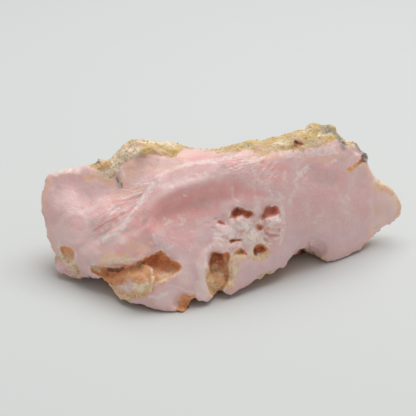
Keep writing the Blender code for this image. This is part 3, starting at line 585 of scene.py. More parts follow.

# %% [markdown]
# ## Where each colour goes
#
# The pink is only part of the stone. It drifts to rose, lilac and peach, and to a paler and a duller pink.
# Part of the peach and the paler pink is painted light on faces in shade, and the duller pink is painted shade
# on faces turned up to the lamp. Fine cracks and flecks are milky, and some milky strokes are painted
# highlights on crests and rims. Iron has stained the hollows tan, rust and ochre, with cream where the stain
# has worn off;
# more cream is painted highlight on lit edges. Deep in the hollows, a dark umber is painted shade, and the pits
# are painted paler towards their lower rims, where light falls in. The rind blushes where pink shows through
# it, and manganese has left grey spots; one broad grey stroke is a painted soft shadow.
#
# Each of these is a number from 0 to 1 at every point of the mesh, a named attribute that the material reads.
# A painted picture could hold them too, but it would need a map that fits the stone, and an attribute simply
# belongs to the mesh. A mark is (line, radius, strength), in millimetres on the sheet.

# %% The colour marks
MARKS = {
    "rose": (
        (((-3.0, 9.8), (2.0, 9.4), (6.4, 9.4)), 1.6, 0.7),
        (((-8.6, 7.0), (-4.0, 7.6), (1.0, 8.4)), 1.6, 0.5),
        (((-13.4, 0.6), (-14.8, -2.4), (-14.4, -4.0)), 1.5, 0.8),
        (((-17.0, -6.2), (-13.4, -5.0)), 2.0, 0.5), (((-15.0, 9.8), (-10.0, 9.2)), 1.2, 0.5),
        (((-26.4, 2.4), (-22.4, 0.4)), 2.4, 0.25),
        (((-11.6, -3.4), (-9.6, -0.4), (-5.6, 1.6), (0.4, 3.2), (5.4, 3.6)), 2.8, 1.0),
        (((-9.6, -2.8), (-4.6, -1.2), (1.4, 0.4)), 2.2, 0.9),
        (((-8.0, 1.0), (-4.6, 1.0), (-1.6, 1.0)), 1.0, 0.8), (((5.6, 3.2), (10.8, 2.6)), 1.6, 0.8),
        (((20.4, 7.0), (24.0, 7.4), (26.4, 6.0)), 2.6, 0.5), (((-7.6, -5.4), (-4.4, -6.8)), 2.6, 0.45),
        (((10.8, 8.0), (13.4, 8.4), (16.0, 8.0)), 1.2, 0.6),
        (((9.4, 5.6), (12.8, 6.0), (15.0, 6.4)), 1.4, 0.5),
        (((-14.6, -3.4), (-16.0, -5.4), (-17.6, -7.0)), 1.2, 0.55),
        (((-17.2, -8.8), (-13.6, -8.4), (-11.6, -7.2)), 1.6, 0.6),
        (((-13.0, 2.0), (-16.6, 1.4), (-19.2, 1.0)), 0.4, 0.8), (((-11.6, 3.2), (-14.0, 2.2)), 0.32, 0.9),
        (((-14.2, 0.4), (-18.0, -1.8), (-21.0, -3.6), (-23.0, -4.6)), 0.48, 1.0),
        (((-16.0, 1.0), (-19.2, -1.0), (-21.0, -2.2)), 0.36, 0.7),
        (((-4.8, 9.8), (-2.4, 10.0)), 0.52, 0.8), (((-19.2, -7.2), (-15.6, -7.2)), 1.0, 0.4),
        (((18.4, 1.6), (24.4, 2.4)), 2.4, 0.3), (((29.4, 3.6), (30.8, -1.4)), 1.8, 0.3),
    ),
    # Pale pink: the stone's own paler patches, and painted light where a face lies in shade below the streaks.
    "pale_and_lit": (
        (((-19.8, -6.4), (-17.2, -6.2)), 1.6, 0.75),
        (((-1.2, -17.4), (-0.8, -14.4), (-1.2, -11.4)), 2.0, 0.8),
        (((-6.0, -19.0), (-9.6, -18.6)), 1.6, 0.6),
        (((-0.6, -9.8), (0.0, -8.6), (2.0, -7.8), (3.6, -7.8)), 1.1, 0.7),
        (((-0.8, -9.0), (-1.4, -12.0)), 0.9, 0.5),
        (((-22.4, -12.4), (-20.0, -14.6), (-18.6, -15.6)), 1.4, 0.6),
        (((-29.4, -4.6), (-26.6, -6.0)), 2.6, 0.5), (((-5.4, -11.6), (-4.4, -14.0)), 2.4, 0.5),
        (((-9.4, -17.0), (-7.0, -17.4)), 2.0, 0.4), (((36.0, 2.0), (36.6, -1.4), (34.4, -4.0)), 2.6, 0.6),
        (((-24.4, -8.0), (-22.4, -10.0)), 2.0, 0.4),
    ),
    # Painted shade: a duller pink on faces that turn up to the lamp, below the seam and on the left face.
    "painted_shade": (
        (((-7.0, 6.6), (-2.0, 7.8), (3.0, 9.0)), 1.8, 0.65),
        (((-13.6, 9.4), (-9.4, 8.8), (-6.0, 9.0)), 1.8, 0.7),
        (((-29.4, 3.4), (-27.6, 1.6), (-25.4, 0.8)), 2.0, 0.5), (((-1.6, 0.6), (3.4, 1.0)), 1.8, 0.4),
        (((-12.6, -1.0), (-12.2, -3.0)), 1.2, 0.5), (((1.6, 9.6), (6.0, 11.0)), 1.0, 0.5),
        (((-25.6, 2.6), (-22.4, 0.6)), 2.0, 0.4), (((20.4, 7.4), (24.4, 6.0)), 2.6, 0.4),
        (((8.0, -3.4), (11.0, -2.0)), 1.6, 0.2),
    ),
    "lilac": (
        (((-8.6, -6.4), (-4.6, -8.4), (-2.6, -12.4), (-0.6, -15.4)), 3.4, 0.8),
        (((7.4, -13.4), (13.4, -10.8), (18.4, -5.4)), 2.8, 0.9),
        (((22.4, -6.0), (27.4, -6.0), (30.4, -4.0)), 3.6, 0.8), (((21.4, 7.6), (26.4, 6.6)), 2.4, 0.6),
        (((-28.0, -9.4), (-30.0, -4.8), (-29.6, -2.8)), 1.6, 0.8),
        (((-24.6, -3.4), (-24.6, -7.4), (-23.6, -10.8)), 1.8, 0.5),
        (((-21.6, 4.6), (-23.6, 1.6), (-26.0, 0.0)), 2.8, 0.7), (((-29.2, 4.6), (-29.2, 0.6)), 1.8, 0.5),
        (((-7.6, -16.4), (-9.6, -19.4)), 1.8, 0.9), (((-25.2, -12.0), (-22.0, -13.2)), 1.2, 0.8),
        (((-1.6, -6.4), (1.4, -4.0)), 1.8, 0.6),
    ),
    # Peach: the stone's own peach, and painted light on the shaded band just under the rind.
    "peach_and_lit": (
        (((-16.8, 9.4), (-12.0, 9.6), (-8.6, 9.4)), 1.3, 0.5),
        (((-31.8, -3.0), (-30.8, -7.0), (-30.0, -10.0)), 0.7, 0.3),
        (((-31.8, 5.6), (-32.8, 2.6), (-33.0, -0.4)), 0.8, 0.6), (((-30.4, 7.2), (-27.6, 7.4)), 0.8, 0.8),
        (((33.6, 4.8), (36.8, 2.4), (38.0, 0.4)), 1.5, 1.0), (((35.4, -2.4), (34.0, -0.4)), 1.8, 0.4),
        (((-20.8, -10.4), (-18.6, -9.8), (-15.6, -10.2), (-17.2, -11.2)), 1.5, 1.0),
        (((28.2, 7.6), (30.0, 8.8)), 0.9, 1.0), (((-15.6, -7.4), (-12.4, -8.4)), 1.8, 0.5),
        (((-23.0, -11.6), (-19.2, -11.6), (-13.6, -11.2), (-11.2, -9.6)), 0.6, 0.7),
        (((-16.6, 5.6), (-16.0, 7.6), (-11.6, 8.6), (-8.0, 8.4), (-5.6, 9.6)), 2.0, 0.55),
        (((-19.2, 2.4), (-13.6, 3.6)), 1.6, 0.3), (((-24.0, 6.0), (-21.6, 6.4), (-19.2, 4.8)), 1.4, 0.8),
        (((9.6, 9.6), (12.4, 10.2), (15.4, 10.8)), 1.0, 0.6),
        (((18.4, 10.0), (24.4, 10.6), (27.4, 11.2)), 1.4, 0.25), (((22.0, 9.6), (24.8, 9.4)), 0.6, 0.6),
        (((-3.6, 11.0), (1.4, 11.0), (5.4, 10.6)), 0.8, 0.3), (((31.4, 8.6), (32.4, 6.6)), 0.8, 0.5),
        (((32.6, -3.4), (32.4, -6.4)), 0.6, 0.6), (((4.8, -10.8), (6.4, -10.8)), 1.2, 0.3),
    ),
    # Milk: milky cracks and flecks, and painted highlights on the crest under the rind, the top of the left
    # face and the lower middle.
    "milk_and_highlight": (
        (((14.8, 10.8), (20.0, 10.9), (25.4, 11.4)), 1.1, 0.6),
        (((-9.8, 5.4), (-12.0, 3.0), (-13.6, 1.0), (-15.2, -1.4)), 0.8, 0.5),
        (((-15.2, -1.4), (-16.8, -3.4), (-18.4, -4.8), (-20.4, -6.0), (-22.0, -6.4)), 0.9, 0.45),
        (((-30.6, 7.0), (-28.6, 7.6), (-26.2, 7.4)), 0.9, 0.9),
        (((-15.8, -16.8), (-13.4, -16.4), (-12.6, -15.2)), 0.7, 0.9),
        (((6.4, 10.8), (5.4, 10.4), (1.4, 9.4), (-2.6, 9.0), (-6.0, 8.2), (-8.4, 7.2),
          (-10.2, 6.0)), 0.6, 0.6),
        (((0.8, 9.6), (-2.4, 8.9)), 0.26, 0.7), (((-5.6, 8.4), (-7.2, 7.6)), 0.44, 0.6),
        (((-1.6, 6.2), (-0.2, 6.8)), 0.8, 0.5), (((-9.6, 4.4), (-7.0, 4.6)), 0.7, 0.5),
        (((7.4, 9.6), (10.8, 10.2)), 0.9, 0.5), (((5.6, 8.6), (8.4, 9.6), (10.0, 9.0)), 0.6, 0.35),
        (((-11.0, 5.0), (-13.6, 1.2), (-15.4, -1.4), (-16.8, -3.8), (-19.0, -5.8),
          (-20.8, -6.6)), 0.45, 1.0),
        (((-11.2, 5.0), (-13.6, 4.6)), 0.24, 0.7), (((-11.0, 4.8), (-12.0, 3.2)), 0.3, 0.7),
        (((-13.4, 3.0), (-15.2, 2.4), (-17.2, 1.8)), 0.24, 0.7), (((-14.8, 3.2), (-14.4, 2.4)), 0.24, 0.5),
        (((-17.8, 0.0), (-19.4, -1.0)), 0.28, 0.7), (((-16.4, -0.2), (-18.2, -1.6)), 0.2, 0.5),
        (((-18.8, 0.6), (-19.8, -0.2)), 0.2, 0.6),
        (((-17.6, -2.6), (-19.6, -3.8), (-21.2, -4.6)), 0.26, 0.6),
        (((-20.0, -0.8), (-22.0, -2.2)), 0.2, 0.4),
        (((-29.6, -3.4), (-28.6, -1.6), (-27.0, -1.0), (-25.6, -1.0)), 0.8, 0.25),
        (((-25.6, -1.0), (-23.2, 0.0), (-21.6, 1.6)), 0.8, 0.25),
        (((-29.8, -6.4), (-30.0, -7.8)), 0.32, 0.6),
        (((-24.0, -2.4), (-23.2, -5.4), (-22.0, -7.0)), 0.8, 0.35),
        (((-16.6, -4.4), (-14.0, -5.2)), 1.0, 0.25),
        (((7.6, 11.0), (8.2, 8.6), (9.6, 6.8), (9.0, 5.0), (9.4, 3.2)), 0.5, 0.3),
        (((4.8, 4.0), (5.0, 2.2), (6.0, 1.2)), 0.28, 0.5), (((10.0, 6.0), (10.8, 5.2)), 0.4, 0.7),
        (((15.4, 7.2), (15.2, 5.6)), 0.36, 0.6), (((12.4, 3.6), (12.8, 2.4)), 0.32, 0.6),
        (((14.4, 2.6), (15.2, 2.2), (14.2, 1.6)), 0.6, 0.55),
        (((18.4, 6.8), (17.4, 5.4), (17.8, 3.8), (16.8, 2.6), (16.4, 1.0)), 0.5, 0.4),
        (((9.4, 2.2), (12.0, 1.6), (14.4, 1.6)), 0.6, 0.4), (((17.8, 8.0), (18.2, 5.6)), 0.4, 0.5),
        (((23.6, 8.6), (25.6, 9.4)), 0.28, 0.7), (((-8.6, -2.0), (-7.2, -2.8), (-8.4, -3.2)), 0.48, 0.6),
        (((-5.8, -1.8), (-4.8, -2.4), (-5.4, -3.2)), 0.6, 0.5),
        (((-11.2, -2.0), (-10.6, -2.6)), 0.32, 0.4), (((-11.0, -5.4), (-10.4, -7.0)), 0.32, 0.7),
        (((-11.6, -7.0), (-11.2, -7.2)), 0.28, 0.6), (((-8.0, -8.2), (-6.8, -7.4)), 0.36, 0.5),
        (((-6.4, -7.0), (-6.0, -7.2)), 0.28, 0.6), (((-3.4, -4.8), (-2.0, -4.8)), 0.3, 0.4),
        (((-4.8, 2.6), (-4.4, 2.4)), 0.28, 0.7), (((28.8, 11.6), (30.8, 10.0), (31.6, 8.4)), 0.28, 0.6),
        (((18.4, 11.2), (20.8, 11.2), (22.8, 11.8), (25.4, 12.4)), 0.48, 0.7),
        (((-8.4, -15.4), (-6.0, -16.0), (-2.4, -17.2), (0.0, -18.8)), 0.32, 0.5),
        (((-1.8, -15.4), (-1.4, -17.2)), 1.5, 0.5),
        (((-11.6, -17.8), (-10.0, -18.0), (-8.4, -17.0)), 0.44, 0.8),
        (((-0.6, -10.8), (-1.0, -13.6), (-0.2, -16.4)), 0.32, 0.6),
        (((26.4, 1.6), (27.0, 1.2)), 0.4, 0.45), (((27.8, 2.4), (28.2, 1.8)), 0.35, 0.35),
        (((27.2, -0.6), (28.0, -0.8)), 0.4, 0.4), (((21.8, -1.8), (22.4, -1.4)), 0.35, 0.35),
        (((20.8, -2.8), (21.4, -3.2)), 0.35, 0.35), (((25.6, -2.6), (26.4, -2.8)), 0.35, 0.3),
        (((19.8, -1.2), (20.4, -0.9)), 0.4, 0.4), (((19.4, 5.6), (19.8, 6.4)), 0.28, 0.4),
        (((1.6, -5.6), (4.8, -6.0), (7.6, -6.4)), 1.0, 0.8), (((0.4, -7.6), (2.0, -6.8)), 0.6, 0.7),
        (((5.6, -2.8), (7.8, -3.6), (9.4, -5.6)), 1.8, 0.9), (((2.8, -4.0), (5.6, -5.2)), 1.2, 0.8),
        (((10.8, -2.8), (12.8, -2.8), (14.4, -2.0)), 1.0, 0.9),
        (((14.8, 0.6), (15.2, -3.4), (14.6, -7.0)), 0.48, 0.6), (((10.0, 0.8), (9.6, -1.0)), 0.8, 0.7),
        (((7.6, -6.4), (10.8, -7.2)), 1.0, 0.7), (((8.0, -10.8), (6.4, -12.0)), 1.0, 0.2),
        (((-17.6, -15.0), (-16.4, -15.6), (-15.6, -16.2)), 0.9, 0.9),
        (((-27.4, 7.2), (-26.0, 7.0)), 0.28, 0.7), (((-17.4, 8.4), (-16.6, 6.4)), 0.4, 0.6),
    ),
    "fleck": (
        (((5.4, 8.6), (10.4, 5.6), (15.4, 3.6)), 4.0, 1.0),
        (((18.4, 3.6), (26.4, 0.6), (29.4, 1.6)), 3.2, 0.8), (((18.4, -1.4), (27.4, -2.8)), 2.0, 0.8),
        (((-9.6, -2.8), (-3.6, -2.8)), 2.0, 0.8), (((-11.6, -6.4), (-5.6, -7.6)), 2.0, 0.7),
        (((-29.6, 1.6), (-23.6, 0.6)), 2.8, 0.4), (((-22.6, -1.4), (-13.6, 0.6)), 2.8, 0.8),
        (((12.4, -3.4), (18.4, -1.4)), 2.4, 0.6),
    ),
    "ochre": (
        (((-21.8, -12.6), (-20.4, -13.2)), 0.9, 0.6), (((3.7, -11.0), (3.8, -12.4)), 0.6, 0.5),
        (((-22.4, 8.2), (-21.0, 8.4)), 0.48, 1.0),
        (((-22.8, 8.6), (-19.6, 9.0), (-16.6, 10.0)), 0.44, 0.5),
        (((28.2, 7.6), (29.0, 8.2), (30.0, 8.6)), 0.4, 0.4),
        (((34.6, 4.2), (35.6, 4.0), (36.8, 3.0)), 0.9, 0.55),
        (((38.0, 1.6), (38.4, 0.0), (37.4, -1.8)), 0.32, 0.6), (((34.4, -3.4), (33.0, -4.2)), 0.28, 0.5),
        (((5.0, -10.0), (5.6, -12.0), (5.0, -14.4), (4.2, -15.8)), 0.9, 0.75),
        (((0.0, -13.6), (0.2, -15.6), (0.8, -17.0)), 0.44, 0.8), (((3.6, -10.8), (4.4, -12.8)), 0.52, 0.7),
        (((0.8, -12.8), (2.8, -12.6)), 0.44, 0.6), (((1.8, -15.8), (3.6, -15.4)), 0.6, 0.6),
        (((9.2, -9.8), (10.8, -10.0), (12.0, -9.0)), 0.72, 0.8),
        (((5.6, -9.8), (7.6, -10.0), (8.8, -9.4)), 0.52, 0.7), (((8.2, -7.8), (8.8, -8.8)), 0.4, 0.5),
        (((10.4, -10.8), (10.6, -11.8)), 0.3, 0.4), (((6.0, -8.6), (6.8, -8.6)), 0.6, 0.6),
        (((-21.0, -13.8), (-20.0, -15.0)), 0.6, 0.8), (((-22.2, -11.6), (-23.2, -12.0)), 0.6, 0.7),
        (((-30.2, -9.8), (-29.2, -9.6), (-28.4, -10.0), (-27.6, -11.0)), 0.6, 0.9),
        (((-29.2, -8.0), (-28.4, -8.4)), 0.4, 0.5),
        (((-26.6, -11.6), (-25.8, -12.8), (-25.6, -14.2)), 0.64, 0.8),
        (((-27.0, -13.8), (-26.2, -14.2)), 0.48, 0.7), (((10.0, -13.8), (12.4, -12.8)), 0.48, 0.8),
        (((19.6, -8.4), (21.0, -9.4), (23.2, -10.4)), 0.44, 0.7),
        (((21.4, -9.8), (23.6, -10.6)), 0.44, 0.6), (((-18.6, -10.0), (-16.2, -10.2)), 0.6, 0.35),
        (((-16.0, -13.6), (-14.6, -12.4), (-12.8, -12.0), (-11.4, -13.2), (-11.0, -14.8)), 0.68, 0.6),
        (((-14.8, -16.8), (-12.4, -16.8), (-11.2, -15.2)), 0.68, 0.7),
        (((-13.6, -14.4), (-12.4, -14.0)), 0.6, 0.5),
        (((-18.6, -17.6), (-16.6, -18.6), (-15.2, -17.6)), 0.64, 0.7),
        (((-16.2, -15.2), (-15.4, -16.6)), 0.4, 0.6),
        (((-6.0, -20.2), (-4.8, -19.6), (-3.8, -20.2)), 0.52, 0.8),
        (((-2.2, -15.6), (-1.8, -16.4)), 0.28, 0.6), (((-0.8, -16.6), (0.0, -17.8)), 0.32, 0.4),
        (((7.8, 10.0), (10.0, 11.0), (11.4, 10.6), (10.8, 11.6)), 0.52, 0.5),
    ),
    "tan": (
        (((1.2, -11.6), (2.8, -12.8)), 1.2, 0.9), (((3.7, -10.6), (3.8, -12.8)), 0.7, 0.9),
        (((28.3, 7.7), (29.0, 8.2), (30.0, 8.8)), 0.4, 0.9),
        (((-16.4, -13.8), (-14.8, -12.6), (-12.6, -12.2), (-11.2, -14.0), (-12.0, -16.4),
          (-14.0, -17.2)), 1.3, 1.0),
        (((-14.0, -14.6), (-13.4, -15.2)), 2.2, 1.0),
        (((-19.0, -15.2), (-18.0, -17.0), (-16.0, -18.0), (-14.8, -17.2)), 1.2, 0.9),
        (((-17.2, -13.6), (-16.0, -12.8), (-13.6, -11.6)), 0.6, 0.9),
        (((-29.6, -10.0), (-28.0, -10.4), (-27.6, -11.2)), 0.8, 0.8),
        (((-26.6, -12.0), (-26.0, -13.8)), 0.9, 0.8),
        (((0.4, -12.8), (2.0, -13.6), (3.2, -14.8)), 1.6, 0.9),
        (((4.8, -10.8), (5.2, -13.6), (4.4, -15.6)), 0.9, 0.7), (((0.4, -15.4), (1.2, -17.0)), 0.6, 0.8),
        (((-7.6, -12.0), (-8.0, -13.6), (-9.6, -14.6)), 1.2, 0.8),
        (((-6.8, -11.2), (-5.6, -12.0)), 0.6, 0.7),
        (((-5.6, -19.0), (-4.0, -18.4), (-2.4, -18.6)), 0.8, 0.8),
        (((9.6, -10.0), (11.6, -9.4)), 0.72, 0.8), (((6.4, -9.0), (7.2, -9.6)), 0.72, 0.8),
        (((-22.8, -12.0), (-20.8, -12.4), (-19.2, -13.8)), 0.7, 0.9),
        (((20.0, -8.6), (22.0, -9.8), (23.6, -10.6)), 0.52, 0.8),
    ),
    "rust": (
        (((-16.4, -12.6), (-14.4, -12.0), (-12.6, -12.8), (-11.8, -14.4)), 2.0, 0.5),
        (((-13.6, -13.6), (-12.8, -14.6)), 1.6, 0.4),
        (((-20.8, -12.5), (-18.4, -13.6)), 1.0, 0.7),
        (((-13.0, -10.6), (-10.0, -9.6), (-9.0, -9.4)), 1.0, 1.0),
        (((-9.6, -10.0), (-7.6, -11.2), (-6.2, -11.8)), 1.4, 0.8),
        (((-28.8, -7.9), (-27.4, -8.6)), 0.8, 0.7), (((10.2, -7.8), (11.4, -8.3)), 0.8, 1.0),
        (((1.0, -9.4), (3.4, -9.8)), 1.0, 0.5),
        (((-4.6, -18.2), (-3.0, -18.4), (-4.6, -20.0)), 1.6, 1.0),
        (((18.4, -9.4), (20.6, -10.8)), 1.4, 1.0), (((7.6, -1.0), (8.8, -1.2)), 0.5, 0.7),
        (((18.2, 12.8), (18.8, 12.6)), 0.4, 0.6),
        (((28.2, 7.6), (29.0, 8.2), (30.0, 8.8)), 0.6, 0.8),
        (((-15.4, -13.6), (-14.2, -13.6)), 1.2, 0.7), (((-18.0, -13.6), (-17.0, -14.6)), 1.2, 0.8),
        (((-12.6, -13.4), (-12.2, -15.2)), 0.35, 0.8), (((-11.0, -14.6), (-11.0, -16.4)), 0.35, 0.9),
        (((-19.8, -13.6), (-17.6, -14.6)), 1.4, 0.7), (((11.0, -7.6), (11.6, -8.4)), 0.6, 1.0),
        (((-21.4, 8.1), (-20.0, 8.3)), 0.4, 0.5),
    ),
    # Painted shade: a dark umber deep in the hollows and under their upper rims, where light hardly reaches.
    "recess_shade": (
        (((-14.8, -12.8), (-13.6, -12.5), (-12.2, -13.0)), 1.1, 0.25),
        (((-19.8, -12.3), (-18.4, -12.5), (-17.0, -12.2)), 0.6, 0.85),
        (((-10.2, -9.4), (-9.4, -9.1)), 0.6, 0.35), (((9.3, -8.4), (9.4, -9.2)), 0.5, 0.9),
        (((5.0, -1.0), (5.8, -0.4)), 0.5, 0.35), (((4.5, -6.8), (5.2, -6.5)), 0.35, 0.5),
        (((1.2, -9.1), (2.4, -9.4)), 0.5, 0.5),
        (((0.8, -9.4), (0.5, -11.0), (0.5, -12.8)), 0.5, 0.35), (((19.0, -8.8), (18.4, -10.2)), 1.0, 1.0),
        (((19.4, -9.6), (21.2, -10.8)), 0.7, 0.7), (((17.5, 13.1), (18.6, 12.8)), 0.6, 0.8),
        (((30.9, 10.2), (31.1, 9.4)), 0.6, 1.0), (((30.4, 9.0), (30.7, 9.4)), 0.5, 0.5),
        (((11.6, -0.2), (11.2, -1.4)), 0.45, 0.2), (((-14.0, -10.9), (-12.8, -10.8)), 0.4, 0.6),
    ),
    # Cream: worn stain in the hollows, and painted highlight on the rind's shaded left edge, the lip, the tip
    # and the knob.
    "cream_and_highlight": (
        (((-23.4, -11.9), (-21.8, -12.4)), 0.8, 0.9), (((-17.8, -15.8), (-16.8, -17.0)), 1.2, 0.4),
        (((-18.6, -17.0), (-17.4, -17.8)), 1.0, 0.4), (((1.4, -11.8), (2.6, -13.0)), 1.0, 0.45),
        (((0.6, -14.6), (1.4, -16.4)), 0.8, 0.35), (((3.6, -11.0), (3.8, -12.8)), 0.6, 0.35),
        (((-28.4, -10.2), (-27.4, -11.0)), 0.9, 0.6), (((-8.0, -12.6), (-9.6, -13.8)), 1.0, 0.5),
        (((-20.4, 6.6), (-18.6, 7.4), (-18.8, 8.6)), 1.3, 0.9),
        (((-18.4, 9.6), (-17.0, 10.6), (-14.6, 11.4)), 2.0, 0.8), (((-23.0, 7.2), (-22.0, 7.0)), 0.8, 0.6),
        (((-13.6, 13.4), (-10.0, 13.4), (-7.0, 12.4)), 0.8, 0.7),
        (((-19.0, 9.6), (-17.6, 11.6), (-15.4, 12.8)), 0.8, 0.5), (((22.2, 14.6), (24.0, 14.7)), 0.4, 1.0),
        (((13.4, 12.8), (16.0, 13.2)), 0.7, 0.5), (((19.0, 15.2), (21.0, 16.2)), 0.6, 0.5),
        (((20.0, 12.6), (23.0, 13.4)), 0.7, 0.5), (((-2.4, 12.2), (3.0, 11.8)), 0.6, 0.6),
        (((28.4, 12.4), (29.6, 12.2)), 0.6, 0.7),
        (((-29.2, -9.6), (-28.0, -10.6), (-27.6, -11.8)), 1.0, 0.9),
        (((-26.8, -12.4), (-25.8, -13.6)), 0.8, 0.5),
        (((4.9, -9.8), (5.5, -12.4), (4.7, -15.2)), 0.9, 0.6),
        (((8.6, -6.8), (8.6, -9.2), (10.0, -10.0), (12.0, -9.2)), 0.6, 0.45),
        (((5.2, -9.6), (7.6, -9.8)), 0.5, 0.4), (((7.2, -5.4), (10.4, -6.2), (10.8, -6.8)), 0.8, 0.5),
        (((-11.4, -12.2), (-10.9, -14.4), (-11.6, -16.4)), 0.4, 0.8),
        (((-17.6, -17.6), (-15.6, -18.2)), 0.6, 0.5),
        (((19.6, -8.3), (21.4, -9.6), (23.0, -10.6)), 0.4, 0.7),
        (((33.6, 5.6), (36.4, 4.6), (38.4, 2.0)), 0.7, 0.6),
        (((-14.8, -15.4), (-13.6, -16.4), (-12.4, -15.2)), 1.0, 1.0),
        (((-20.4, -10.2), (-15.8, -10.4)), 1.0, 0.4), (((-7.4, -12.6), (-9.4, -14.2)), 1.0, 0.5),
        (((-28.4, -9.8), (-28.0, -10.4)), 0.9, 0.5),
    ),
    "blush": (
        (((-17.0, 9.0), (-12.0, 9.6), (-8.0, 9.6)), 2.0, 0.9),
        (((-18.0, 10.4), (-15.6, 11.8), (-13.6, 12.6)), 1.6, 0.7),
        (((-19.6, 7.4), (-21.4, 6.6)), 1.4, 0.8), (((10.0, 12.0), (11.4, 10.6)), 1.2, 0.7),
        (((-3.0, 11.6), (1.0, 11.8)), 0.9, 0.9), (((24.4, 13.2), (20.0, 12.8)), 1.0, 0.5),
    ),
    "grey_and_shade": (
        (((23.0, 16.0), (24.0, 16.4), (24.8, 15.6), (23.8, 15.2)), 0.56, 1.0),
        (((23.0, 15.8), (24.4, 15.6)), 1.3, 0.7), (((25.4, 15.0), (26.6, 13.6), (27.2, 12.2)), 0.8, 0.9),
        (((29.8, 12.4), (31.0, 11.4)), 0.8, 0.8), (((31.2, 10.6), (31.6, 9.4)), 0.7, 0.8),
        (((26.4, 13.6), (27.0, 11.6)), 0.6, 0.45), (((29.6, 12.6), (30.6, 12.0), (31.2, 11.2)), 0.44, 1.0),
        (((31.0, 10.8), (31.6, 9.8)), 0.44, 1.0), (((-23.2, 9.0), (-21.8, 9.2)), 0.4, 1.0),
        (((7.6, 12.8), (8.8, 12.8)), 0.4, 0.8), (((-18.1, 6.0), (-18.0, 5.2)), 0.28, 1.0),
        (((-17.4, 4.8), (-17.2, 4.2)), 0.26, 0.9), (((20.2, -7.0), (20.3, -8.2)), 0.2, 0.5),
        (((-18.0, 7.2), (-17.8, 4.4)), 0.6, 0.35), (((15.2, 13.6), (17.4, 13.8)), 0.4, 0.5),
        # The broad faint stroke at (27.4, 10.6) is a painted soft shadow; the other grey marks are manganese.
        (((-10.4, 10.0), (-10.0, 9.6)), 0.24, 0.4), (((27.4, 10.6), (28.4, 11.6)), 1.8, 0.12),
        (((-26.8, -14.4), (-26.0, -12.4)), 0.4, 0.4),
    ),
}
print(sum(len(strokes) for strokes in MARKS.values()), "strokes in", len(MARKS), "colours")

# %% [markdown]
# The rind's lower edge across the broken face is a line on the sheet. Behind and above the face there is no
# sheet to draw on, so a rule takes over: everything that turns away wears rind, apart from bare patches where
# slow noise is high, the two ends, and the underside. Two more noises give the rind there its chalky and its
# sooty spots.

# %% Lay the rind and store the marks
RIND_EDGE = np.array([
    (-26.0, 10.0), (-24.6, 8.8), (-23.2, 8.0), (-22.2, 7.6), (-20.8, 6.8), (-20.0, 6.0), (-19.0, 6.0),
    (-18.2, 7.0), (-17.4, 8.4), (-16.2, 9.2), (-15.0, 9.6), (-13.6, 10.2), (-11.6, 10.4), (-9.6, 10.6),
    (-8.6, 10.2), (-7.2, 10.0), (-6.0, 10.8), (-5.0, 11.5), (-4.2, 11.8), (-2.4, 12.0), (-0.6, 11.4),
    (0.8, 11.3), (2.4, 11.0), (4.8, 11.1), (6.4, 11.4), (8.4, 11.8), (9.6, 11.0), (10.8, 10.4),
    (12.4, 11.0), (14.4, 11.4), (16.4, 11.6), (18.4, 11.4), (20.0, 11.8), (21.6, 12.2), (23.4, 12.6),
    (25.0, 13.2), (25.8, 13.8), (26.8, 13.2), (27.6, 12.2), (28.8, 12.4), (29.8, 12.1), (30.8, 11.4),
    (31.6, 10.4), (32.4, 8.4),
])
STAINED_PITS = {  # how brown each pit's lining is
    "tall hollow": 1.0, "deep pit": 1.0, "gable pit": 0.7, "slit": 0.9, "branched pit": 1.0, "red pit": 0.9,
    "small slit": 0.6, "round pit": 0.75, "dimple": 0.4, "fan, upper trough": 0.3, "fan, lower trough": 0.45,
    "arc slit": 0.4, "left of the lip": 1.0, "right of the lip": 1.0, "left pocket": 0.9, "foot pocket": 1.0,
    "right notch": 1.0, "rind hole": 0.4, "dark notch": 0.9,
}
LIT_PIT_FLOORS = {  # and how much of that gives way to tan towards the lower rim: painted light where it falls into the pit
    "tall hollow": 1.0, "deep pit": 0.7, "gable pit": 1.0, "slit": 0.6, "branched pit": 0.3,
    "right of the lip": 0.8, "left of the lip": 0.5, "left pocket": 1.0, "foot pocket": 0.6, "round pit": 0.5,
}
FEATHER = 0.1  # every mark is this much wider than drawn, so that the thinnest still cover a point or two
RIND_FADE = 0.5  # the width of the rind's edge
RIND_FOOT = 2.0  # how high above the floor the rind begins
BARE_FROM = 0.30  # the noise above which a patch is bare
BARE_RISE = 0.16
RIGHT_END = 31.5  # the stone is bare to the right of this
LEFT_END = -26.0  # and to the left of this
CALM_ROUNDS = 12  # of smoothing before the surface's direction is read, so that small bumps don't count
RED_PITS = ("branched pit", "red pit", "small slit", "round pit", "fan, lower trough")
STROKE_CORE = 1.4  # over 1, so that the middle of a stroke has its full strength
SPLINTER_LOW = 0.14  # the splinter noise that begins to show as milk or rose
SPLINTER_RISE = 0.22  # and how much more of it shows in full


def rind_share(points, normals, seen):
    """1 where the stone wears its rind, and 0 on broken opal."""
    ragged_up = seen[:, 1] + 0.35 * wobble(points, 1.3, seed=31) + 0.2 * wobble(points, 0.5, seed=32)
    above = smoothstep((ragged_up - np.interp(seen[:, 0], *RIND_EDGE.T)) / RIND_FADE + 0.5)
    turned = smoothstep((normals @ SIGHT + 0.05) / 0.25)
    high = smoothstep((points[:, 2] - RIND_FOOT) / 2.0) * smoothstep((normals[:, 2] + 0.75) / 0.3)
    patches = wobble(points, 9.0, seed=11) + 0.55 * wobble(points, 2.6, seed=12)
    patches = patches + 0.3 * wobble(points, 0.9, seed=13)
    bare = smoothstep((patches - BARE_FROM) / BARE_RISE) * turned
    ends = smoothstep((points[:, 0] - RIGHT_END) / 2.0) + smoothstep((LEFT_END - points[:, 0]) / 4.0)
    return np.clip(np.maximum(above, turned * high) - bare - ends, 0.0, 1.0)


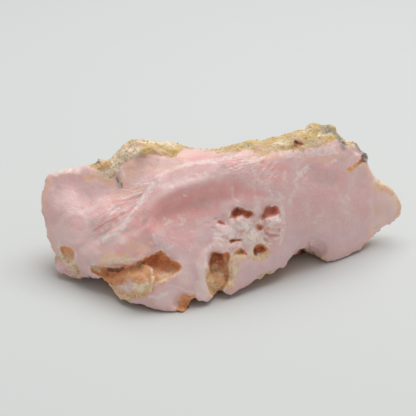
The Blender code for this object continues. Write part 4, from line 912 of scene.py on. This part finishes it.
def store(mesh, name, values):
    """A number from 0 to 1 at every point of the mesh, under a name."""
    attribute = mesh.attributes.new(name, "FLOAT", "POINT")
    attribute.data.foreach_set("value", np.clip(values, 0.0, 1.0).astype(np.float32))


put_points(body, relaxed(points, edges, CALM_ROUNDS))
calm_normals = normals_of(body)
put_points(body, points)
facing_sheet = in_view * smoothstep(0.8 - (calm_normals @ SIGHT) / 0.5)
rind = rind_share(points, calm_normals, seen)
lining = np.max([STAINED_PITS[name] * share for name, share in pit_share.items()], axis=0)
red = np.max([pit_share[name] for name in RED_PITS], axis=0)
# Pits are painted paler towards their lower rim, as light falls there, and stay brown under the upper rim.
lit_pit_floor = np.max([LIT_PIT_FLOORS[name] * pit_share[name] * pit_floor[name] for name in LIT_PIT_FLOORS], axis=0)
masks = {"rind": rind, "lining": lining, "red": red}
bend = np.column_stack([
    0.3 * wobble(points, 1.4, seed=41) + 0.12 * wobble(points, 0.45, seed=42),
    0.3 * wobble(points, 1.4, seed=43) + 0.12 * wobble(points, 0.45, seed=44),
])
bent = seen + bend
for name, strokes in MARKS.items():
    value = np.zeros(len(points))
    for line, radius, strength in strokes:
        share = smoothstep(STROKE_CORE * stroke(bent, line, radius + FEATHER))
        value = np.maximum(value, strength * share)
    masks[name] = value * facing_sheet
masks["tan"] = np.maximum(masks["tan"], lit_pit_floor)
raised = 0.8 * facing_sheet * smoothstep((splintered - SPLINTER_LOW) / SPLINTER_RISE)
sunken = 0.8 * facing_sheet * smoothstep((-splintered - SPLINTER_LOW) / SPLINTER_RISE)
# The pit rims get milk as a painted highlight.
masks["milk_and_highlight"] = np.max([masks["milk_and_highlight"], raised, 0.9 * rim * (1.0 - lining)], axis=0)
masks["rose"] = np.maximum(masks["rose"], sunken)
under = smoothstep((-0.3 - calm_normals[:, 2]) / 0.4) * (1.0 - facing_sheet)
masks["rust"] = np.maximum(masks["rust"], under * smoothstep(wobble(points, 5.0, seed=51) + 0.6))
masks["rose"] = np.maximum(masks["rose"], (1.0 - facing_sheet) * smoothstep(wobble(points, 7.0, seed=52)))
back_rind = rind * (1.0 - facing_sheet)
chalky = wobble(points, 2.0, seed=53) + 0.5 * wobble(points, 0.7, seed=54)
masks["cream_and_highlight"] = np.maximum(masks["cream_and_highlight"], 0.6 * back_rind * smoothstep((chalky - 0.05) / 0.25))
sooty = wobble(points, 1.8, seed=55) + 0.4 * wobble(points, 0.5, seed=56)
masks["grey_and_shade"] = np.maximum(masks["grey_and_shade"], back_rind * smoothstep((sooty - 0.42) / 0.12))
for name, values in masks.items():
    store(body, name, values)
    print(f"{name:8} covers {np.mean(np.clip(values, 0, 1)):.1%} of the stone")

# %% [markdown]
# ## Weathered relief
#
# The rind is made of small lumps and gritty grains, the linings of the hollows are sugary, and the broken
# opal has a very slight swell. These follow a rule, so they are Geometry Nodes: one tree moves every point
# along its normal by noises of different size, each let through by the attribute of the surface it belongs
# to. The sizes are named inputs of the tree, and a seed fixes the noise.

# %% A helper for node trees, and the relief tree
def add(tree, kind, inputs=None, **settings):
    """A new node. Its inputs are numbers, colours or the outputs of other nodes, by name or place."""
    made = tree.nodes.new(kind)
    made.location = (200.0 * len(tree.nodes), 0.0)
    for name, value in settings.items():
        setattr(made, name, value)
    for place, value in (inputs or {}).items():
        if isinstance(value, bpy.types.NodeSocket):
            tree.links.new(value, made.inputs[place])
        else:
            made.inputs[place].default_value = value
    return made


def worked_out(tree, operation, *values, clamp=False):
    """The output of a Math node."""
    made = add(tree, "ShaderNodeMath", dict(enumerate(values)), operation=operation, use_clamp=clamp)
    return made.outputs[0]


def geometry_tree(name, numbers):
    """An empty modifier tree with a geometry, a material and named numbers as its inputs."""
    tree = bpy.data.node_groups.new(name, "GeometryNodeTree")
    tree.is_modifier = True
    tree.interface.new_socket("Geometry", in_out="INPUT", socket_type="NodeSocketGeometry")
    for label, kind in numbers.items():
        tree.interface.new_socket(label, in_out="INPUT", socket_type=kind)
    tree.interface.new_socket("Material", in_out="INPUT", socket_type="NodeSocketMaterial")
    tree.interface.new_socket("Geometry", in_out="OUTPUT", socket_type="NodeSocketGeometry")
    return tree, add(tree, "NodeGroupInput").outputs


def end_tree(tree, inlet, geometry):
    """Realize Instances and Set Material, last of all."""
    real = add(tree, "GeometryNodeRealizeInstances", {0: geometry})
    whole = {"Geometry": real.outputs[0], "Material": inlet["Material"]}
    painted = add(tree, "GeometryNodeSetMaterial", whole)
    add(tree, "NodeGroupOutput", {0: painted.outputs[0]})


def set_inputs(modifier, values):
    """Each named input of the modifier's tree, by its socket's identifier."""
    identifiers = {
        item.name: item.identifier
        for item in modifier.node_group.interface.items_tree
        if item.in_out == "INPUT"
    }
    for name, value in values.items():
        modifier[identifiers[name]] = value


def share_of(tree, name):
    return add(tree, "GeometryNodeInputNamedAttribute", {"Name": name}, data_type="FLOAT").outputs[0]


def relief_tree():
    """Moves every point along its normal by the noises of its own kind of surface."""
    sizes = ("Lump size", "Lump height", "Grain size", "Grain height", "Sugar size", "Sugar height",
             "Swell size", "Swell height", "Seed")
    tree, inlet = geometry_tree("weathered_relief", dict.fromkeys(sizes, "NodeSocketFloat"))
    place = add(tree, "GeometryNodeInputPosition").outputs[0]

    def bumps(kind):
        """Noise from about -1 to 1, times the height."""
        scale = worked_out(tree, "DIVIDE", 1.0, inlet[f"{kind} size"])
        field = add(
            tree, "ShaderNodeTexNoise",
            {"Vector": place, "W": inlet["Seed"], "Scale": scale, "Detail": 2.0, "Roughness": 0.5},
            noise_dimensions="4D",
        )
        centred = worked_out(tree, "MULTIPLY_ADD", field.outputs[0], 4.0, -2.0)
        return worked_out(tree, "MULTIPLY", centred, inlet[f"{kind} height"])

    rind = share_of(tree, "rind")
    lining = worked_out(tree, "MAXIMUM", share_of(tree, "lining"), share_of(tree, "tan"))
    gritty = worked_out(tree, "MULTIPLY", worked_out(tree, "ADD", bumps("Lump"), bumps("Grain")), rind)
    sugary = worked_out(tree, "MULTIPLY", bumps("Sugar"), lining)
    bare = worked_out(tree, "SUBTRACT", 1.0, worked_out(tree, "ADD", rind, lining, clamp=True))
    swollen = worked_out(tree, "MULTIPLY", bumps("Swell"), bare)
    height = worked_out(tree, "ADD", worked_out(tree, "ADD", gritty, sugary), swollen)
    normal = add(tree, "GeometryNodeInputNormal").outputs[0]
    offset = add(tree, "ShaderNodeVectorMath", {0: normal, "Scale": height}, operation="SCALE")
    moved = add(tree, "GeometryNodeSetPosition", {"Geometry": inlet["Geometry"], "Offset": offset.outputs[0]})
    end_tree(tree, inlet, moved.outputs[0])
    return tree


LUMP = 2.0  # also read by the material, which paints a highlight on the lumps' tops and shade in the crevices
RELIEF_SEED = 4.0
opal, opal_shader = new_material("pink_opal")
relief = stone.modifiers.new("relief", "NODES")
relief.node_group = relief_tree()
set_inputs(relief, {
    "Lump size": LUMP * MM, "Lump height": 0.3 * MM, "Grain size": 0.7 * MM, "Grain height": 0.08 * MM,
    "Sugar size": 0.9 * MM, "Sugar height": 0.16 * MM, "Swell size": 1.5 * MM, "Swell height": 0.045 * MM,
    "Seed": RELIEF_SEED, "Material": opal,
})
print("the relief tree has", len(relief.node_group.nodes), "nodes")

# %% [markdown]
# The fine mesh has more points than the stone needs at its back and underside. Decimate merges the ones that
# matter least, and a vertex group tells it to spare the broken face, where colours need points to sit on.

# %% Thin the mesh and stand it on the floor
MOST_TRIANGLES = 192_000
REAR_BIAS = 4.0
BIAS_STEPS = 10
plain = stone.vertex_groups.new(name="plain")
level = np.round(np.clip(1.0 - facing_sheet, 0.0, 1.0) * BIAS_STEPS).astype(int)
for step in range(BIAS_STEPS + 1):
    plain.add(np.flatnonzero(level == step).tolist(), step / BIAS_STEPS, "REPLACE")
thin = stone.modifiers.new("thin", "DECIMATE")
thin.vertex_group = plain.name
thin.vertex_group_factor = REAR_BIAS
thin.ratio = min(1.0, MOST_TRIANGLES / (2 * len(body.polygons)))
thin.use_collapse_triangulate = True
body = made_plain(stone, "opal_stone")
stone.vertex_groups.clear()
points = points_of(body)
points[:, 2] = np.maximum(points[:, 2], 0.0)
put_points(body, points)
body.shade_smooth()
print(len(body.polygons), "triangles")
print("stone from", points.min(axis=0).round(2), "to", points.max(axis=0).round(2), "mm")

# %% [markdown]
# ## Earth: a shared finish
#
# Rind, stained linings and loose grains are all the same weathered earth in different shades. A node group
# holds it once: two noises mix a dark, a middle and a pale shade, and small cells give the grains their
# height. Each use sets its own shades and size. The helpers for colours and masks come first.

# %% Build the earth group
FINER = 3.7  # how many times smaller the fine noise is than the coarse one
GRANULES = 5.0  # and the granules


def blended(tree, mask, below, above):
    """The colour above laid over the colour below, through the mask."""
    return add(tree, "ShaderNodeMix", {0: mask, 6: below, 7: above}, data_type="RGBA").outputs[2]


def product(tree, first, second):
    return worked_out(tree, "MULTIPLY", first, second)


def ramped(tree, value, low, high):
    """0 below low and 1 above high, with a smooth rise between."""
    return add(
        tree, "ShaderNodeMapRange", {"Value": value, "From Min": low, "From Max": high},
        interpolation_type="SMOOTHSTEP",
    ).outputs[0]


def earth_group():
    """One weathered earth in three shades, with its granules as a height."""
    tree = bpy.data.node_groups.new("weathered_earth", "ShaderNodeTree")
    for label, kind in {
        "Place": "NodeSocketVector", "Size": "NodeSocketFloat", "Dark": "NodeSocketColor",
        "Middle": "NodeSocketColor", "Pale": "NodeSocketColor",
    }.items():
        tree.interface.new_socket(label, in_out="INPUT", socket_type=kind)
    tree.interface.new_socket("Colour", in_out="OUTPUT", socket_type="NodeSocketColor")
    tree.interface.new_socket("Height", in_out="OUTPUT", socket_type="NodeSocketFloat")
    inlet = add(tree, "NodeGroupInput").outputs
    scale = worked_out(tree, "DIVIDE", 1.0, inlet["Size"])
    coarse = add(
        tree, "ShaderNodeTexNoise",
        {"Vector": inlet["Place"], "Scale": scale, "Detail": 5.0, "Roughness": 0.65},
    )
    finer = product(tree, scale, FINER)
    fine = add(tree, "ShaderNodeTexNoise", {"Vector": inlet["Place"], "Scale": finer, "Detail": 3.0})
    granules = product(tree, scale, GRANULES)
    grain = add(tree, "ShaderNodeTexVoronoi", {"Vector": inlet["Place"], "Scale": granules})
    lower = blended(tree, ramped(tree, coarse.outputs[0], 0.34, 0.54), inlet["Dark"], inlet["Middle"])
    colour = blended(tree, ramped(tree, fine.outputs[0], 0.48, 0.66), lower, inlet["Pale"])
    height = worked_out(tree, "MULTIPLY_ADD", grain.outputs[0], -0.6, fine.outputs[0])
    add(tree, "NodeGroupOutput", {"Colour": colour, "Height": height})
    return tree


EARTH = earth_group()
EARTHS = {  # name: (size of the pattern in millimetres, dark, middle and pale shade)
    "brown": (1.5, (0.66, 0.22, 0.10), (0.84, 0.335, 0.165), (0.90, 0.46, 0.27)),
    "tan": (1.2, (0.68, 0.33, 0.155), (0.82, 0.455, 0.24), (0.94, 0.70, 0.46)),
    "ochre": (1.0, (0.58, 0.33, 0.12), (0.78, 0.50, 0.20), (0.85, 0.66, 0.38)),
    "rust": (1.3, (0.70, 0.24, 0.085), (0.88, 0.36, 0.155), (0.92, 0.52, 0.28)),
    "rind": (2.6, (0.52, 0.33, 0.11), (0.62, 0.44, 0.185), (0.68, 0.54, 0.34)),
}


def earth(tree, place, name, size=None):
    """Colour and height of one of the earths, placed in a material."""
    own_size, *shades = EARTHS[name]
    made = add(tree, "ShaderNodeGroup", node_tree=EARTH)
    tree.links.new(place, made.inputs["Place"])
    made.inputs["Size"].default_value = (size or own_size) * MM
    for label, shade in zip(("Dark", "Middle", "Pale"), shades):
        made.inputs[label].default_value = (*shade, 1.0)
    return made.outputs["Colour"], made.outputs["Height"]


print("the earth group has", len(EARTH.nodes), "nodes and", len(EARTHS), "sets of shades")

# %% [markdown]
# ## Pink opal
#
# Opal is waxy: light goes a little way in, so edges glow and shadows are soft, and it has a dull sheen. The
# body colour is built in layers, from the inside out. The first are the pinks of the clean break: a slow
# cloud of two of them, then the drawn tints, some of which are painted light and painted shade, then the milky
# cracks, flecks and dots, broken up by fine noise, with painted highlights among the milky strokes.

# %% The pinks of the break
PINK = (0.84, 0.565, 0.545, 1.0)
CLOUD_PINK = (0.82, 0.52, 0.50, 1.0)
TINTS = {
    "lilac": (0.79, 0.555, 0.56, 1.0),
    "rose": (0.87, 0.44, 0.42, 1.0),
    # partly painted light
    "peach_and_lit": (0.93, 0.59, 0.42, 1.0),
    # partly painted light
    "pale_and_lit": (0.95, 0.71, 0.67, 1.0),
    # painted shade
    "painted_shade": (0.62, 0.41, 0.385, 1.0),
}
MILK_AND_HIGHLIGHT = (0.95, 0.80, 0.76, 1.0)
FLECK_STRENGTH = 0.5
DOT_STRENGTH = 0.6
HAZE_STRENGTH = 0.14
DOT_SPACING = 0.75  # between the small white dots of the break, in millimetres


def mask_of(tree, name):
    return add(tree, "ShaderNodeAttribute", attribute_name=name).outputs["Fac"]


def noise_of(tree, place, size, detail=2.0):
    """Noise with lumps of that many millimetres."""
    values = {"Vector": place, "Scale": 1.0 / (size * MM), "Detail": detail}
    return add(tree, "ShaderNodeTexNoise", values).outputs[0]


def patches_of(tree, place, size, detail, low, high):
    """Patches of that many millimetres, where the noise rises from low to high."""
    return ramped(tree, noise_of(tree, place, size, detail), low, high)


def pink_break(tree, place, breakup):
    """The colour of the clean break, with painted light and painted shade among its tints."""
    colour = blended(tree, patches_of(tree, place, 5.0, 4.0, 0.40, 0.62), PINK, CLOUD_PINK)
    soft = worked_out(tree, "MULTIPLY_ADD", breakup, 0.5, 0.75)
    for name, shade in TINTS.items():
        share = worked_out(tree, "MULTIPLY", mask_of(tree, name), soft, clamp=True)
        colour = blended(tree, share, colour, shade)
    # The milk marks are milky veins and painted highlights.
    veins_and_highlights = product(tree, mask_of(tree, "milk_and_highlight"), ramped(tree, breakup, 0.32, 0.54))
    specks = patches_of(tree, place, 0.45, 2.0, 0.58, 0.68)
    specks = product(tree, specks, patches_of(tree, place, 2.6, 2.0, 0.46, 0.58))
    flecked = product(tree, product(tree, specks, mask_of(tree, "fleck")), FLECK_STRENGTH)
    colour = blended(tree, worked_out(tree, "MAXIMUM", veins_and_highlights, flecked), colour, MILK_AND_HIGHLIGHT)
    cells = add(tree, "ShaderNodeTexVoronoi", {"Vector": place, "Scale": 1.0 / (DOT_SPACING * MM)}).outputs[0]
    dots = worked_out(tree, "SUBTRACT", 1.0, ramped(tree, cells, 0.10, 0.24))
    dots = product(tree, dots, patches_of(tree, place, 3.0, 3.0, 0.48, 0.62))
    colour = blended(tree, product(tree, dots, DOT_STRENGTH), colour, MILK_AND_HIGHLIGHT)
    haze = product(tree, patches_of(tree, place, 2.2, 8.0, 0.46, 0.62), HAZE_STRENGTH)
    return blended(tree, haze, colour, MILK_AND_HIGHLIGHT)


print(len(TINTS), "tints over two pinks")

# %% [markdown]
# Next comes the rind. Its earth is golden in some places and blushes in others. Reading the same noise as the
# relief tree, it paints a creamy highlight on the tops of its lumps and shade in the crevices between them.

# %% The rind
GOLDEN = (0.74, 0.50, 0.19, 1.0)
RIND_BLUSH = (0.68, 0.45, 0.34, 1.0)
LUMP_HIGHLIGHT = (0.74, 0.62, 0.46, 1.0)
CREVICE_SHADE = (0.42, 0.23, 0.08, 1.0)


def weathered_rind(tree, place):
    """The rind's colour, with painted highlights on its lumps and painted shade in its crevices, and its
    height.
    """
    colour, height = earth(tree, place, "rind")
    golden = product(tree, patches_of(tree, place, 6.0, 3.0, 0.48, 0.60), 0.7)
    blush = product(tree, patches_of(tree, place, 3.0, 3.0, 0.48, 0.62), 0.5)
    blush = worked_out(tree, "MAXIMUM", blush, mask_of(tree, "blush"))
    lumps = add(
        tree, "ShaderNodeTexNoise",
        {"Vector": place, "W": RELIEF_SEED, "Scale": 1.0 / (LUMP * MM), "Detail": 2.0, "Roughness": 0.5},
        noise_dimensions="4D",
    ).outputs[0]
    # Painted highlight on the lump tops and painted shade in the crevices between them.
    top = product(tree, ramped(tree, lumps, 0.54, 0.68), 0.5)
    hollow = product(tree, worked_out(tree, "SUBTRACT", 1.0, ramped(tree, lumps, 0.30, 0.44)), 0.5)
    for share, shade in ((golden, GOLDEN), (blush, RIND_BLUSH), (top, LUMP_HIGHLIGHT), (hollow, CREVICE_SHADE)):
        colour = blended(tree, share, colour, shade)
    return colour, height


print("the rind takes its lumps from noise of", LUMP, "mm, seed", RELIEF_SEED)

# %% [markdown]
# The stains go on last, because they lie on the surface: the brown linings of the pits, which are redder in a
# few, then tan, which also paints light at the bottoms of the pits, ochre and rust, and over them cream, partly
# worn stain and partly painted highlight, a dark umber that is painted shade deep in the hollows, and grey
# spots, one of them a painted soft shadow. Fine noise eats into all of them but the linings, the tan and the
# umber shade, so that their edges crumble.

# %% The stains
RED_BROWN = (0.84, 0.37, 0.28, 1.0)
PALE_CREAM_AND_HIGHLIGHT = (0.94, 0.80, 0.62, 1.0)
RECESS_SHADE = (0.20, 0.08, 0.04, 1.0)
GREY_AND_SHADE = (0.26, 0.27, 0.25, 1.0)


def stains_and_painted_light(tree, place, breakup, colour):
    """The colour with the stains, painted highlights and painted shade on it, and the height of the linings."""
    brown, height = earth(tree, place, "brown")
    brown = blended(tree, mask_of(tree, "red"), brown, RED_BROWN)
    colour = blended(tree, mask_of(tree, "lining"), colour, brown)
    colour = blended(tree, mask_of(tree, "tan"), colour, earth(tree, place, "tan")[0])
    for name, low, high in (("ochre", 0.30, 0.56), ("rust", 0.26, 0.52)):
        share = product(tree, mask_of(tree, name), ramped(tree, breakup, low, high))
        colour = blended(tree, share, colour, earth(tree, place, name)[0])
    # The cream is partly worn stain and partly painted highlight.
    cream_and_highlight_share = product(tree, mask_of(tree, "cream_and_highlight"), ramped(tree, breakup, 0.34, 0.54))
    colour = blended(tree, cream_and_highlight_share, colour, PALE_CREAM_AND_HIGHLIGHT)
    # The umber is painted shade in the hollows.
    colour = blended(tree, mask_of(tree, "recess_shade"), colour, RECESS_SHADE)
    smudged = worked_out(tree, "MULTIPLY_ADD", patches_of(tree, place, 1.6, 4.0, 0.42, 0.56), 0.4, 0.6)
    smudged = product(tree, smudged, ramped(tree, breakup, 0.30, 0.46))
    colour = blended(tree, product(tree, mask_of(tree, "grey_and_shade"), smudged), colour, GREY_AND_SHADE)
    return colour, height


print("stains are laid over", [round(v, 2) for v in PINK[:3]])

# %% [markdown]
# The layers now go into one material. Its roughness and bump change with them, from waxy on the break to dry
# and gritty on the earth, and the glow of light inside the stone comes from the shader's own subsurface.

# %% Dress the opal
DRY = 0.85  # the roughness of earth
WAX = 0.36  # the least roughness of the break


def dress_opal():
    """All the layers, and the finish that goes with them."""
    tree = opal.node_tree
    place = add(tree, "ShaderNodeTexCoord").outputs["Object"]
    breakup = noise_of(tree, place, 0.8, 4.0)
    rind, rind_height = weathered_rind(tree, place)
    crust = mask_of(tree, "rind")
    colour = blended(tree, crust, pink_break(tree, place, breakup), rind)
    colour, lining_height = stains_and_painted_light(tree, place, breakup, colour)
    earthy = worked_out(tree, "MAXIMUM", mask_of(tree, "lining"), mask_of(tree, "tan"))
    earthy = worked_out(tree, "MAXIMUM", crust, earthy)
    sheen = worked_out(tree, "MULTIPLY_ADD", breakup, 0.16, WAX)
    rough = add(tree, "ShaderNodeMix", {0: earthy, 2: sheen, 3: DRY}).outputs[0]
    sugar = worked_out(tree, "MULTIPLY_ADD", mask_of(tree, "fleck"), 1.0, 0.25)
    sugar = product(tree, noise_of(tree, place, 0.4), sugar)
    wax = worked_out(tree, "MULTIPLY_ADD", noise_of(tree, place, 1.4, 3.0), 0.9, sugar)
    grit = add(tree, "ShaderNodeMix", {0: crust, 2: lining_height, 3: rind_height}).outputs[0]
    height = add(tree, "ShaderNodeMix", {0: earthy, 2: wax, 3: grit}).outputs[0]
    bump = add(tree, "ShaderNodeBump", {"Height": height, "Strength": 0.6, "Distance": 0.25 * MM})
    tree.links.new(colour, opal_shader.inputs["Base Color"])
    tree.links.new(rough, opal_shader.inputs["Roughness"])
    tree.links.new(bump.outputs[0], opal_shader.inputs["Normal"])
    opal_shader.inputs["IOR"].default_value = 1.45
    opal_shader.inputs["Subsurface Weight"].default_value = 0.45
    opal_shader.inputs["Subsurface Radius"].default_value = (1.0, 0.45, 0.38)
    opal_shader.inputs["Subsurface Scale"].default_value = 0.6 * MM
    print("pink opal has", len(tree.nodes), "nodes")


dress_opal()

# %% [markdown]
# ## Grains of the rind
#
# The rind sheds grains, and those that still cling to it catch the light one by one. Bump alone can't do
# that, because they break the outline of the stone. A particle system could scatter them, but Geometry Nodes
# keeps the rule in one tree: points spread over the rind, a rough little crystal of twenty faces on each,
# turned and sized at random from a fixed seed.

# %% The grain tree
def grain_tree():
    """Small crystals spread over the surface where it is grainy."""
    numbers = dict.fromkeys(("Spacing", "Density", "Radius", "Smallest", "Largest"), "NodeSocketFloat")
    tree, inlet = geometry_tree("clinging_grains", numbers | {"Seed": "NodeSocketInt"})
    spread = add(
        tree, "GeometryNodeDistributePointsOnFaces",
        {"Mesh": inlet["Geometry"], "Distance Min": inlet["Spacing"], "Density Max": inlet["Density"],
         "Density Factor": share_of(tree, "grainy"), "Seed": inlet["Seed"]},
        distribute_method="POISSON",
    )
    crystal = add(tree, "GeometryNodeMeshIcoSphere", {"Radius": inlet["Radius"], "Subdivisions": 1})
    turn = add(
        tree, "FunctionNodeRandomValue", {0: (0.0, 0.0, 0.0), 1: (math.tau, math.tau, math.tau), "Seed": 1},
        data_type="FLOAT_VECTOR",
    )
    size = add(
        tree, "FunctionNodeRandomValue", {2: inlet["Smallest"], 3: inlet["Largest"], "Seed": 2},
        data_type="FLOAT",
    )
    squash = add(
        tree, "FunctionNodeRandomValue", {0: (0.6, 0.6, 0.6), 1: (1.3, 1.3, 1.3), "Seed": 3},
        data_type="FLOAT_VECTOR",
    )
    scale = add(
        tree, "ShaderNodeVectorMath", {0: squash.outputs[0], "Scale": size.outputs[1]}, operation="SCALE",
    )
    placed = add(
        tree, "GeometryNodeInstanceOnPoints",
        {"Points": spread.outputs["Points"], "Instance": crystal.outputs[0], "Rotation": turn.outputs[0],
         "Scale": scale.outputs[0]},
    )
    end_tree(tree, inlet, placed.outputs[0])
    return tree


GRAIN_TREE = grain_tree()
print("the grain tree has", len(GRAIN_TREE.nodes), "nodes")

# %% [markdown]
# Grains don't cover the rind evenly: they sit in patches, and a few cling to the lower edge as well. A share
# at every point of a copy of the stone's mesh says how likely a grain is there.

# %% Scatter the grains
MOSS = (  # (line, radius): granules cling to these spots of the lower edge too
    (((-27.2, -12.0), (-25.6, -13.6), (-24.8, -14.6)), 1.4), (((-16.6, -18.2), (-14.8, -17.8)), 1.2),
    (((-5.4, -20.6), (-3.4, -20.2)), 1.2), (((10.0, -13.8), (12.4, -12.8)), 0.8),
)
GRAIN_PATCH = 2.2  # the size of the grainy patches
CRYSTAL_FACES = 20
grit, grit_shader = new_material("rind_grit")
surface = body.copy()
flat_rind = np.empty(len(surface.vertices), np.float32)
surface.attributes["rind"].data.foreach_get("value", flat_rind)
grain_points = points_of(surface)
patchy = smoothstep((wobble(grain_points, GRAIN_PATCH, seed=61) + 0.15) / 0.5)
mossy = np.max([stroke(on_sheet(grain_points), line, radius) for line, radius in MOSS], axis=0)
store(surface, "grainy", np.maximum(flat_rind * patchy, mossy))
grains = bpy.data.objects.new("rind_grains", surface)
bpy.context.scene.collection.objects.link(grains)
scatter = grains.modifiers.new("scatter", "NODES")
scatter.node_group = GRAIN_TREE
set_inputs(scatter, {
    "Spacing": 0.45 * MM, "Density": 1.4e6, "Radius": 0.16 * MM, "Smallest": 0.5, "Largest": 1.4, "Seed": 7,
    "Material": grit,
})
gravel = made_plain(grains, "rind_grains")
grain_points = points_of(gravel)
grain_points[:, 2] = np.maximum(grain_points[:, 2], 0.0)
put_points(gravel, grain_points)
print(len(gravel.polygons) // CRYSTAL_FACES, "grains")

# %% [markdown]
# The grains have come off the same rind. They could share the stone's material, but they carry none of its
# marks, so they get one of their own: the rind's earth at a smaller size, dry and without a sheen.

# %% Give the grains the rind's own earth
GRAIN_EARTH = 0.9  # the size of the earth's pattern on them
place = add(grit.node_tree, "ShaderNodeTexCoord").outputs["Object"]
colour, height = earth(grit.node_tree, place, "rind", GRAIN_EARTH)
bump = add(grit.node_tree, "ShaderNodeBump", {"Height": height, "Strength": 0.4, "Distance": 0.1 * MM})
grit.node_tree.links.new(colour, grit_shader.inputs["Base Color"])
grit.node_tree.links.new(bump.outputs[0], grit_shader.inputs["Normal"])
grit_shader.inputs["Roughness"].default_value = DRY
print("rind grit has", len(grit.node_tree.nodes), "nodes")

# %% [markdown]
# ## Finish
#
# Both pieces move with the one solid of the imported model, and the stone stands in for it.

# %% Tie the pieces to the frame
for piece in (stone, grains):
    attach(piece, "root")
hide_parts(NODE)
